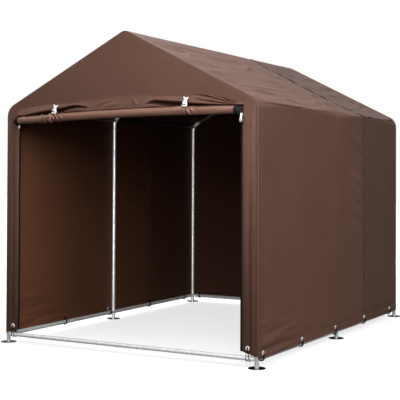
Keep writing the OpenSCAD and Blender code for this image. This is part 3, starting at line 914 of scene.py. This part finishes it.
nose_line = ((-0.82, 1.460), (-0.75, 1.468), (-0.65, 1.484), (-0.55, 1.494), (-0.47, 1.505), (-0.36, 1.523),
             (-0.26, 1.536), (0.18, 1.547), (0.27, 1.532), (0.42, 1.521), (0.47, 1.511), (0.565, 1.501),
             (0.65, 1.496), (0.82, 1.488))
lower_line = ((-0.65, 1.463), (-0.55, 1.474), (-0.47, 1.484), (-0.39, 1.501), (-0.29, 1.522), (-0.25, 1.530),
              (0.18, 1.540), (0.22, 1.521), (0.27, 1.503), (0.34, 1.497), (0.42, 1.494), (0.82, 1.48))
# slack is 1 where the cloth folds over the roll, and 0 between the straps, where it is taut
slack_x = np.linspace(-strip_in_x, strip_in_x + 0.010, 332)
slack = np.maximum(1 - step(slack_x, -0.38, -0.24), step(slack_x, 0.15, 0.27))
slack_top = gable_edge(slack_x)
fold_h = slack_top - fold_start
roll_top = roll_axis_h(slack_x) + roll_radius(slack_x)
lower_h = np.maximum(through(slack_x, lower_line), roll_top + 0.001)
nose_h = np.maximum(through(slack_x, nose_line), lower_h + 0.004)
nose_rise = fold_h - nose_h
layer = np.clip((lower_h - roll_top) / 0.012, 0, 1)
pressed = 1 - 0.5 * sum(groove(slack_x, at, 0.022) for at in strap_xs)
nose_out = 0.027 - 0.012 * step(slack_x, 0.5, 0.8) - 0.012 * step(-slack_x, 0.55, 0.8)
nose_out = (nose_out + 0.004 * ripple(slack_x / 0.09, 0 * slack_x, 81.0)) * pressed
taut_drop = slack_top - roll_top
pocket_in = -0.032


def between(taut, folded):
    """A knot of the slack cloth, between its taut and its folded place, as (out, height)."""
    return np.array([taut[0] + (folded[0] - taut[0]) * slack, taut[1] + (folded[1] - taut[1]) * slack])


slack_knots = [
    np.array([0 * slack, slack_top]),
    between((0.003, slack_top - 0.20 * taut_drop), (0.10 * nose_out, fold_h + 0.002)),
    between((0.008, slack_top - 0.42 * taut_drop), (0.78 * nose_out, nose_h + 0.50 * nose_rise)),
    between((0.013, slack_top - 0.62 * taut_drop), (nose_out, nose_h + 0.06 * nose_rise)),
    between((0.016, slack_top - 0.80 * taut_drop), (pocket_in, 0.5 * (nose_h + lower_h))),
    between((0.018, slack_top - 0.92 * taut_drop), (pocket_in + 0.048 * layer, lower_h)),
    between((0.018, roll_top + 0.002), (pocket_in + 0.049 * layer, roll_top + 0.001)),
    np.array([-0.014 + 0 * slack, roll_top - 0.012]),
    np.array([-roll_forward - 0.020 + 0 * slack, roll_axis_h(slack_x)]),
]
slack_rows = smooth_rows(slack_knots, 60)
slack_out = slack_rows[:, 0]
slack_z = slack_rows[:, 1]
slack_grid_x = np.broadcast_to(slack_x, slack_out.shape)
over_roll = step(slack_z - roll_top, 0.002, 0.012) * (slack_out > -0.004)
for start, end, rise, width in (((-0.22, 1.515), (-0.07, 1.556), 0.006, 0.008),
                                ((0.055, 1.563), (0.115, 1.505), 0.006, 0.007),
                                ((-0.15, 1.50), (-0.02, 1.535), 0.005, 0.009)):
    slack_out = slack_out + rise * over_roll * fold_between(slack_grid_x, slack_z, start, end, width)
# A fan of narrow folds runs from the right strap to the end of the roll
to_end = np.arctan2(slack_z - 1.486, 0.83 - slack_grid_x)
in_fan = step(slack_grid_x, 0.455, 0.53) * (1 - step(slack_grid_x, 0.73, 0.80)) * over_roll
slack_out = slack_out + 0.0065 * in_fan * np.sin(62 * to_end + 1.4 + 2.0 * slack_grid_x)
slack_run = distance_along(slack_out, slack_z)
slack_cloth = sheet_mesh("slack_cloth", slack_grid_x[::-1], (-bay - lay_r - slack_out)[::-1], slack_z[::-1],
                         slack_grid_x[::-1], slack_run[::-1])
roll_x = np.concatenate([np.linspace(roll_left_x, -0.66, 70)[:-1], np.linspace(-0.66, -0.40, 130)[:-1],
                         np.linspace(-0.40, 0.36, 90)[:-1], np.linspace(0.36, 0.53, 75)[:-1],
                         np.linspace(0.53, roll_right_x, 40)])
core_x = np.linspace(roll_left_x, roll_right_x, 12)
roll_face = roll_sheet("roll_face", roll_x, roll_turns - 1, roll_turns, 44, True)
roll_core = roll_sheet("roll_core", core_x, 0.0, roll_turns - 1, 240, False)
# The roll's cloth is painted lighter than the cover: painted light on the roll.
door_roll_painted_lighter = coated_fabric("coated_fabric_door_painted_lighter", "#7c5a4b", "#7c5a4b", 0.5, 0.36)
slack_cloth.data.materials.append(cover_cloth)
roll_face.data.materials.append(door_roll_painted_lighter)
roll_core.data.materials.append(door_roll_painted_lighter)
door = join([slack_cloth, roll_face, roll_core], "rolled_door_cloth")
door.data.materials.append(cover_cloth)
thicken(door, fabric_t, 1)
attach(door, "root")
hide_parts("rolled_door")

# Door zips
# Black woven tapes with a moulded coil, sewn to the doorway edges of the strips and to the sides of the door.
# The door's own tapes are rolled up with it, and stand out bunched at the ends of the roll.


def ribbed_textile(name, roughness, sheen, follows, direction, rib, uneven, hollow_shade_hex, ridge_hex, relief):
    """A woven or braided band: matt, with ribs a set distance apart, painted darker in their hollows as
    painted shade.
    follows is what the ribs lie along, and relief is the bump's strength and height."""
    made, tree, shader = new_material(name, 0.0, roughness)
    place = add(tree, "ShaderNodeTexCoord")
    ribs = add(tree, "ShaderNodeTexWave", {
        "Vector": (place, follows),
        "Scale": 0.314 / rib,
        "Distortion": uneven,
    }, bands_direction=direction)
    # Painted shade: the hollows between the ribs are darker.
    shade = add(tree, "ShaderNodeMix", {
        "Factor": (ribs, 1),
        6: linear(hollow_shade_hex),
        7: linear(ridge_hex),
    }, data_type="RGBA")
    strength, height = relief
    bump = add(tree, "ShaderNodeBump", {"Strength": strength, "Distance": height, "Height": (ribs, 1)})
    feed(tree, shader, {"Specular IOR Level": sheen, "Base Color": (shade, 2), "Normal": (bump, 0)})
    return made


# Woven polyester tape: matt black ribs 2 mm apart, drawn coarser than the threads so that they show.
zip_tape = ribbed_textile("woven_zip_tape", 0.7, 0.2, "Object", "Z", rib=0.002, uneven=0.4,
                          hollow_shade_hex="#040404", ridge_hex="#0c0c0c", relief=(0.5, 0.0004))
zip_w = 0.012
zip_t = 0.0009
tape_rows = 120


def bunched_end(sign, inner_x, outer_x, drop):
    """The tape at one end of the roll, wound up with it and bulging out in front of the strip."""
    share = np.sin(np.linspace(0, math.pi / 2, 14))
    x = sign * (inner_x + (outer_x - inner_x) * share)
    turn = np.linspace(roll_turns - 6, roll_turns, 200)[:, None]
    around = 2 * math.pi * turn
    closing = np.sqrt(np.clip(1 - 0.9 * share ** 2.5, 0, 1))
    radius = (0.003 + 0.0232 * turn / roll_turns) * (1.04 * closing + 0.10 * np.sin(math.pi * share))
    radius = radius * (1 + 0.13 * np.sin(3 * around + 5 * share) * share)
    forward = 0.012 + 0.020 * share ** 2
    y = -(bay + lay_r) - roll_forward - forward + (1 - 0.45 * share) * radius * np.cos(around)
    z = roll_axis_h(x) - drop * share + (1 + 10 * drop * share) * radius * np.sin(around)
    x = np.broadcast_to(x, y.shape)
    if sign > 0:
        return sheet_mesh("bunched_end", x[::-1], y[::-1], z[::-1], x, z)
    return sheet_mesh("bunched_end", x, y, z, x, z)


zip_pieces = []
bunched_ends = (bunched_end(-1, -roll_left_x - 0.004, 0.825, 0.002),
                bunched_end(1, roll_right_x - 0.004, 0.828, 0.024))
for (sign, _, seed), end in zip(STRIPS, bunched_ends):
    tape_x = np.sort(sign * (strip_in_x + np.array([-zip_w, -0.006, 0.0, 0.005])))
    tape_z = np.linspace(doorway_hem_h, 1.458, tape_rows)
    grid_x = np.broadcast_to(tape_x, (tape_rows, 4))
    grid_z = np.broadcast_to(tape_z[:, None], (tape_rows, 4))
    held_x = np.where(np.abs(grid_x) < strip_in_x, sign * strip_in_x, grid_x)
    out = lay_r + strip_fold(held_x, grid_z, seed) - 0.0012
    tape = sheet_mesh("zip_tape", grid_x, -bay - out, grid_z, grid_x, grid_z)
    thicken(tape, zip_t)
    coil_out = lay_r + strip_fold(np.full(tape_rows, sign * strip_in_x), tape_z, seed) - 0.0008
    coil = [(sign * (strip_in_x - zip_w + 0.001), -bay - o, z) for o, z in zip(coil_out, tape_z)]
    thicken(end, zip_t)
    zip_pieces += [tape, tube_along("zip_coil", coil, 0.0019, 8), end]
door_zips = join(zip_pieces, "door_zip_tapes")
dress(door_zips, zip_tape)
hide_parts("door_zips")

# Zip sliders
# A die-cast slider on each zip, plated bright, with a drop-shaped pull that hangs from it.
# It is parked at the top of its zip, just under the end of the roll.


def bright_finish(name, metallic, mark, detail, light_hex, dark_hex, gloss):
    """A smooth bright surface with faint marks of a set size; gloss is its lowest and highest roughness."""
    made, tree, shader = new_material(name, metallic, gloss[0])
    place = add(tree, "ShaderNodeTexCoord")
    marks = add(tree, "ShaderNodeTexNoise", {
        "Vector": (place, "Object"),
        "Scale": 1 / mark,
        "Detail": detail,
    })
    shade = add(tree, "ShaderNodeMix", {
        "Factor": (marks, 0),
        6: linear(light_hex),
        7: linear(dark_hex),
    }, data_type="RGBA")
    shine = add(tree, "ShaderNodeMapRange", {0: (marks, 0), 3: gloss[0], 4: gloss[1]})
    feed(tree, shader, {"Base Color": (shade, 2), "Roughness": (shine, 0)})
    return made


def round_edges(piece, width):
    """Rounds the sharp edges of a piece."""
    select_only(piece)
    bpy.ops.object.modifier_add(type="BEVEL")
    bevel = piece.modifiers[-1]
    bevel.width = width
    bevel.segments = 2
    bevel.limit_method = "ANGLE"
    bpy.ops.object.modifier_apply(modifier=bevel.name)
    bpy.ops.object.shade_smooth_by_angle(angle=math.radians(40))


def outlined(name, outline, depth, bevel):
    """A flat piece with an outline in X and Z, from the plane y = 0 out to -depth, with rounded edges."""
    deselect_all()
    bpy.ops.mesh.primitive_circle_add(vertices=len(outline), fill_type="NGON")
    piece = bpy.context.object
    piece.name = name
    for vertex, (x, z) in zip(piece.data.vertices, outline):
        vertex.co = (x, 0, z)
    bpy.ops.object.mode_set(mode="EDIT")
    bpy.ops.mesh.select_all(action="SELECT")
    bpy.ops.mesh.extrude_region_move(TRANSFORM_OT_translate={"value": (0, -depth, 0)})
    bpy.ops.mesh.select_all(action="SELECT")
    bpy.ops.mesh.normals_make_consistent(inside=False)
    bpy.ops.object.mode_set(mode="OBJECT")
    round_edges(piece, bevel)
    return piece


def drill(piece, z, diameter):
    """Drills a round hole through a flat piece, from front to back."""
    deselect_all()
    bpy.ops.mesh.primitive_cylinder_add(vertices=20, radius=diameter / 2, depth=0.02, location=(0, 0, z),
                                        rotation=(math.pi / 2, 0, 0))
    cutter = bpy.context.object
    select_only(piece)
    bpy.ops.object.modifier_add(type="BOOLEAN")
    hole = piece.modifiers[-1]
    hole.object = cutter
    bpy.ops.object.modifier_apply(modifier=hole.name)
    bpy.data.objects.remove(cutter)


def drop_outline(height, width, points):
    """Outline of a drop that hangs from the origin, round at its foot."""
    radius = width / 2
    outline = [(0.28 * width, 0.0)]
    for turn in np.linspace(math.radians(20), math.radians(-200), points):
        outline.append((radius * math.cos(turn), -height + radius + radius * math.sin(turn)))
    return outline + [(-0.28 * width, 0.0)]


# Nickel plate: bright and slightly milky, with faint handling marks about 4 mm long.
slider_plate = bright_finish("nickel_plate", 0.15, 0.004, 3.0, "#fbfaf6", "#ecebe6", (0.12, 0.32))
slider_outline = [(0.0065, 0.010), (-0.0065, 0.010), (-0.0045, -0.010), (0.0045, -0.010)]
slider_t = 0.006
pull_l = 0.046
pull_w = 0.0165
pull_hole_d = 0.0094
pull_hole_z = -0.037
pull_turn = Matrix.Rotation(math.radians(4), 4, "Y")
slider_places = ((0.008 - strip_in_x, 0.002, 1.427), (strip_in_x + 0.018, 0.049, 1.433))
slider_parts = []
for x, forward, z in slider_places:
    y = -bay - lay_r - forward
    body = outlined("slider_body", slider_outline, slider_t, 0.0012)
    body.data.transform(Matrix.Translation((x, y, z)))
    pull = outlined("slider_pull", drop_outline(pull_l, pull_w, 14), 0.0022, 0.0007)
    drill(pull, pull_hole_z, pull_hole_d)
    pull.data.transform(Matrix.Translation((x, y - slider_t, z + 0.006)) @ pull_turn)
    slider_parts += [body, pull]
zip_sliders = join(slider_parts, "zip_sliders")
dress(zip_sliders, slider_plate)

# Door straps
# Two lengths of brown polyester webbing, sewn to the gable.
# Each strap goes behind the roll, under it and up its front to the buckle.

# Woven webbing: matt, in the cover's brown, with ribs 2.4 mm apart.
webbing = ribbed_textile("strap_webbing", 0.65, 0.5, "UV", "X", rib=0.0024, uneven=0.3,
                         hollow_shade_hex="#4f382f", ridge_hex="#6f4f42", relief=(0.6, 0.0005))
strap_w = 0.024
strap_t = 0.0012
strap_off_roll = 0.0014
strap_start = math.radians(430)
strap_end = math.radians(88)
straps = []
for strap_x in strap_xs:
    columns = strap_x + np.linspace(-strap_w / 2, strap_w / 2, 6)
    around = np.linspace(strap_start, strap_end, 60)[:, None]
    radius = roll_radius(columns) + strap_off_roll
    out_y = roll_y(columns) + radius * np.cos(around)
    loop_z = roll_axis_h(columns) + radius * np.sin(around)
    tail_y = np.linspace(out_y[-1], out_y[-1] - 0.016, 8)[1:]
    tail_z = np.linspace(loop_z[-1], loop_z[-1] + 0.05, 8)[1:]
    strap_y = np.concatenate([out_y, tail_y])
    strap_z = np.concatenate([loop_z, tail_z])
    grid_x = np.broadcast_to(columns, strap_y.shape)
    strap = sheet_mesh("strap", grid_x, strap_y, strap_z, grid_x, distance_along(strap_y, strap_z))
    thicken(strap, strap_t)
    straps.append(strap)
door_straps = join(straps, "door_straps_webbing")
dress(door_straps, webbing)
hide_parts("door_straps")

# Strap buckles
# White plastic hooks, each moulded in one piece and hung over its strap, in front of the roll.
# Each has two short horns, a narrow waist and an open slot in its foot for the webbing.

# Injection-moulded acetal: white, smooth and slightly glossy, with a cloudy gloss on a scale of 6 mm.
white_acetal = bright_finish("moulded_white_plastic", 0.0, 0.006, 2.0, "#f4f4f2", "#e6e6e3", (0.22, 0.4))
buckle_t = 0.0055
buckle_half = [(0.0165, 0.0215), (0.0115, 0.028), (0.0105, 0.038), (0.0125, 0.045), (0.0170, 0.0525),
               (0.0165, 0.0570), (0.0130, 0.0580), (0.0065, 0.0535), (0.0, 0.0515)]
buckle_foot = [(-0.0165, 0.0150), (-0.0150, 0.0140), (0.0065, 0.0140), (0.0085, 0.0120), (0.0085, 0.0095),
               (0.0065, 0.0080), (-0.0150, 0.0080), (-0.0170, 0.0062), (-0.0170, 0.0015), (-0.0150, 0.0),
               (0.0130, 0.0), (0.0165, 0.0035)]
buckle_outline = buckle_half + [(-x, z) for x, z in buckle_half[-2::-1]] + buckle_foot
buckle_out = 0.031
buckles = []
for strap_x, lean in zip(strap_xs, (math.radians(12), math.radians(8))):
    buckle = outlined("buckle", buckle_outline, buckle_t, 0.0012)
    foot_z = float(roll_axis_h(strap_x) + roll_radius(strap_x)) - 0.001
    tilt_back = Matrix.Rotation(math.radians(-8), 4, "X")
    buckle.data.transform(Matrix.Translation((strap_x, -bay - lay_r - buckle_out, foot_z)) @ tilt_back
                          @ Matrix.Rotation(lean, 4, "Y"))
    buckles.append(buckle)
strap_buckles = join(buckles, "strap_hooks")
dress(strap_buckles, white_acetal)
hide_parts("strap_buckles")

# Hem grommets
# Two-part rings of plated brass, pressed together through the hem.
# Five are set along each side wall, four along the back wall and one in each front strip.

# Plated brass: bright, with faint marks about 4 mm long.
ring_brass = bright_finish("plated_brass", 0.15, 0.004, 3.0, "#f4f3ef", "#dad9d4", (0.14, 0.34))
grommet_r = 0.0135
grommet_hole_r = 0.0055
grommet_profile = [
    (grommet_hole_r, -0.0016), (grommet_hole_r + 0.0012, -0.0026), (grommet_r - 0.002, -0.0022),
    (grommet_r, -0.0012), (grommet_r, 0.0010), (grommet_r - 0.002, 0.0022), (grommet_hole_r + 0.0035, 0.0032),
    (grommet_hole_r + 0.0012, 0.0028), (grommet_hole_r, 0.0016),
]
grommet_rise = 0.029
side_grommet_h = wall_hem_h + grommet_rise
front_grommet_x = 0.849
front_grommet_h = 0.111
back_grommet_x = [(half_w - 0.072) * share for share in (-1, -1 / 3, 1 / 3, 1)]
wall_stands_out = 0.0008
tie_spots = []
for sign in (-1, 1):
    for y in grommet_y:
        tie_spots.append(((sign * half_w, y, 0), (sign, 0, 0), side_grommet_h, wall_stands_out))
for sign, _, seed in STRIPS:
    stands_out = float(strip_fold(np.array([sign * front_grommet_x]), np.array([front_grommet_h]), seed)[0])
    tie_spots.append(((sign * front_grommet_x, -bay, 0), (0, -1, 0), front_grommet_h, stands_out))
for x in back_grommet_x:
    tie_spots.append(((x, bay, 0), (0, 1, 0), side_grommet_h, wall_stands_out))
ring = turned("hem_grommet_rings", grommet_profile, 28)
ring_places = []
for base, out, height, stands_out in tie_spots:
    at = Vector(base) + Vector(out) * (lay_r + 0.0016 + stands_out) + Vector((0, 0, height))
    ring_places.append(pointing(out, at))
rings = copies(ring, ring_places)
select_only(rings)
bpy.ops.object.shade_smooth_by_angle(angle=math.radians(50))
dress(rings, ring_brass)
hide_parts("hem_grommets")

# Hem ties
# Short black elastic cords: each goes doubled through its grommet and round the rail, and is knotted on the
# outside of the hem. The front ties hang over a longer drop, so their strands stand further apart.

# Braided elastic cord: matt black, with a diagonal braid 3 mm long.
black_cord = ribbed_textile("braided_black_cord", 0.75, 0.2, "Object", "DIAGONAL", rib=0.003, uneven=1.0,
                            hollow_shade_hex="#060606", ridge_hex="#151516", relief=(0.6, 0.0005))
around_rail = tube_r + 0.0028
knot_cord_r = 0.0023


def tie_cord(base, out, height, stands_out, spread, cord_r):
    """The two strands and the knot of one tie; spread is how far the strands stand apart at the rail."""
    base = Vector(base)
    out = Vector(out)
    along = Vector((-out.y, out.x, 0))

    def at(a, o, z):
        return base + along * a + out * o + Vector((0, 0, z))

    face = lay_r + stands_out + 0.0045
    knot_z = height - 0.019
    pieces = []
    for splay in (-1, 1):
        near = splay * 0.0019
        apart = splay * spread
        points = [
            at(near, -0.006, height),
            at(near, face - 0.002, height),
            at(near, face + 0.0015, height - 0.006),
            at(0.8 * near, face + 0.001, knot_z),
            at(0.5 * (near + apart), face + 0.004, knot_z - 0.012),
        ]
        for turn in np.linspace(math.radians(25), math.radians(-180), 14):
            bulge = around_rail + 0.006 * max(math.cos(turn - math.radians(10)), 0)
            points.append(at(apart, bulge * math.cos(turn), rail_h + bulge * math.sin(turn)))
        points.append(at(0.6 * apart, -around_rail, 0.6 * rail_h + 0.4 * height))
        points.append(at(near, -0.007, height))
        pieces.append(tube_along("tie_strand", points, cord_r, 8))
    for tilt in (0, math.radians(70)):
        centre = at(0, face + 0.0015, knot_z)
        ring_points = []
        for share in np.linspace(0, 2 * math.pi, 13):
            sideways = 0.0042 * math.cos(share)
            ring_points.append(centre + along * sideways * math.cos(tilt) + out * 0.003 * math.sin(share)
                               + Vector((0, 0, 1)) * sideways * math.sin(tilt))
        pieces.append(tube_along("tie_knot", ring_points, knot_cord_r, 8))
    return pieces


front_spread = 0.010
front_cord_r = 0.0020
wall_spread = 0.0034
wall_cord_r = 0.0032
tie_pieces = []
for base, out, height, stands_out in tie_spots:
    at_front = out[1] < 0
    spread = front_spread if at_front else wall_spread
    cord_r = front_cord_r if at_front else wall_cord_r
    tie_pieces += tie_cord(base, out, height, stands_out, spread, cord_r)
hem_ties = join(tie_pieces, "hem_tie_cords")
dress(hem_ties, black_cord)
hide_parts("hem_ties")

# Floor and light
# A plain white studio floor without a horizon, under a bright ceiling that is dim towards its edges.
# Soft boxes stand in front and high up, with large panels at both sides, behind and beside the camera.
# One more, high on the left, rakes the roof, so that its wrinkles show.


def floor_material():
    """White studio floor that fades into the backdrop with faint shadows, and throws little light back up."""
    made, tree, shader = new_material("studio_floor", 0.0, 0.9)
    place = add(tree, "ShaderNodeTexCoord")
    away = add(tree, "ShaderNodeVectorMath", {0: (place, "Object")}, operation="LENGTH")
    bright = add(tree, "ShaderNodeMapRange", {0: (away, "Value"), 1: 2.0, 2: 7.0, 3: 0.72, 4: 1.0})
    ray = add(tree, "ShaderNodeLightPath")
    glow = add(tree, "ShaderNodeMath", {0: (ray, "Is Camera Ray"), 1: (bright, 0)}, operation="MULTIPLY")
    paint = add(tree, "ShaderNodeMix", {
        "Factor": (ray, "Is Camera Ray"),
        6: linear("#404040"),
        7: linear("#a0a0a0"),
    }, data_type="RGBA")
    feed(tree, shader, {
        "Specular IOR Level": 0.0,
        "Base Color": (paint, 2),
        "Emission Color": linear("#ffffff"),
        "Emission Strength": (glow, 0),
    })
    return made


deselect_all()
bpy.ops.mesh.primitive_plane_add(size=60, location=(0, 0, 0))
floor = bpy.context.object
floor.name = "studio_floor"
floor.data.materials.append(floor_material())

scene = bpy.context.scene
scene.view_settings.view_transform = "Standard"
world = bpy.data.worlds.new("studio")
scene.world = world
world.use_nodes = True
sky = world.node_tree
sky.nodes.clear()
ray = add(sky, "ShaderNodeLightPath")
direction = add(sky, "ShaderNodeTexCoord")
upward = add(sky, "ShaderNodeSeparateXYZ", {0: (direction, "Generated")})
glow = add(sky, "ShaderNodeMapRange", {0: (upward, "Z"), 1: 0.05, 2: 0.6, 3: 0.07, 4: 0.74},
           interpolation_type="SMOOTHSTEP")
lit = add(sky, "ShaderNodeBackground", {"Color": linear("#ffffff"), "Strength": (glow, 0)})
seen = add(sky, "ShaderNodeBackground", {"Color": linear("#ffffff"), "Strength": 1.0})
choice = add(sky, "ShaderNodeMixShader", {0: (ray, "Is Camera Ray"), 1: (lit, 0), 2: (seen, 0)})
add(sky, "ShaderNodeOutputWorld", {"Surface": (choice, 0)})


def soft_box(name, at, target, width, height, power):
    """A soft light that faces a target."""
    light = bpy.data.lights.new(name, "AREA")
    light.shape = "RECTANGLE"
    light.size = width
    light.size_y = height
    light.energy = power
    lamp = bpy.data.objects.new(name, light)
    bpy.context.collection.objects.link(lamp)
    lamp.location = at
    lamp.rotation_euler = (Vector(target) - Vector(at)).to_track_quat("-Z", "Y").to_euler()
    lamp.visible_camera = False
    return lamp


soft_box("key_light", (1.4, -3.0, 2.35), (0.1, -1.1, 1.3), 1.4, 1.4, 48)
soft_box("top_light", (0.4, -2.5, 4.2), (0.1, -1.3, 1.3), 1.4, 1.4, 41)
soft_box("roof_light", (-2.0, 0.9, 4.5), (0.4, 0.3, 1.7), 1.0, 1.0, 190)
soft_box("front_panel", (4.5, -9.0, 1.6), (0, 0, 0.9), 3.0, 3.0, 80)
soft_box("right_panel", (5.5, -1.3, 3.2), (0.9, 0, 0.9), 4.0, 4.0, 190)
soft_box("left_panel", (-5.5, 0.0, 3.2), (-0.9, 0, 0.9), 4.0, 4.0, 130)
back_panel = soft_box("back_panel", (-0.4, 6.5, 0.9), (0, 1.2, 1.0), 2.4, 1.0, 130)
back_panel.visible_glossy = False

# A light for the inner posts and the rails alone, which stand bright before the dark lining.
post_light = soft_box("post_light", (2.8, -6.0, 0.7), (-0.6, 0.6, 0.9), 0.8, 0.6, 230)
inner_frame = bpy.data.collections.new("inner_frame")
for name in ("post_middle_left", "post_back_left", "post_back_right", "foot_middle_left", "foot_back_left",
             "ground_rails_left", "ground_rail_back", "ground_rail_front", "eave_elbow_middle_left",
             "eave_elbow_back_left", "eave_elbow_back_right", "rafter_back_left", "rafter_back_right",
             "ridge_elbow_back"):
    inner_frame.objects.link(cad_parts[name])
post_light.light_linking.receiver_collection = inner_frame

# Camera
# The photograph's own view: from the front right, a little above the middle of the posts, with a long lens.
view_azimuth = math.radians(28.931)
view_elevation = math.radians(1.036)
view_roll = math.radians(0.228)
view_from = Vector((3.3983, -6.3026, 1.0985))
image_size = 400
focal_px = 1000.26
centre_px = (208.18, 155.73)
forward = Vector((-math.sin(view_azimuth) * math.cos(view_elevation),
                  math.cos(view_azimuth) * math.cos(view_elevation), math.sin(view_elevation)))
level = Vector((math.cos(view_azimuth), math.sin(view_azimuth), 0))
upright = level.cross(forward)
right = math.cos(view_roll) * level + math.sin(view_roll) * upright
up = -math.sin(view_roll) * level + math.cos(view_roll) * upright
camera_data = bpy.data.cameras.new("camera")
camera_data.sensor_width = 36.0
camera_data.lens = focal_px / image_size * camera_data.sensor_width
camera_data.shift_x = (image_size / 2 - centre_px[0]) / image_size
camera_data.shift_y = (centre_px[1] - image_size / 2) / image_size
camera = bpy.data.objects.new("camera", camera_data)
bpy.context.collection.objects.link(camera)
turn = Matrix((right, up, -forward)).transposed().to_4x4()
camera.matrix_world = Matrix.Translation(view_from) @ turn
scene.camera = camera
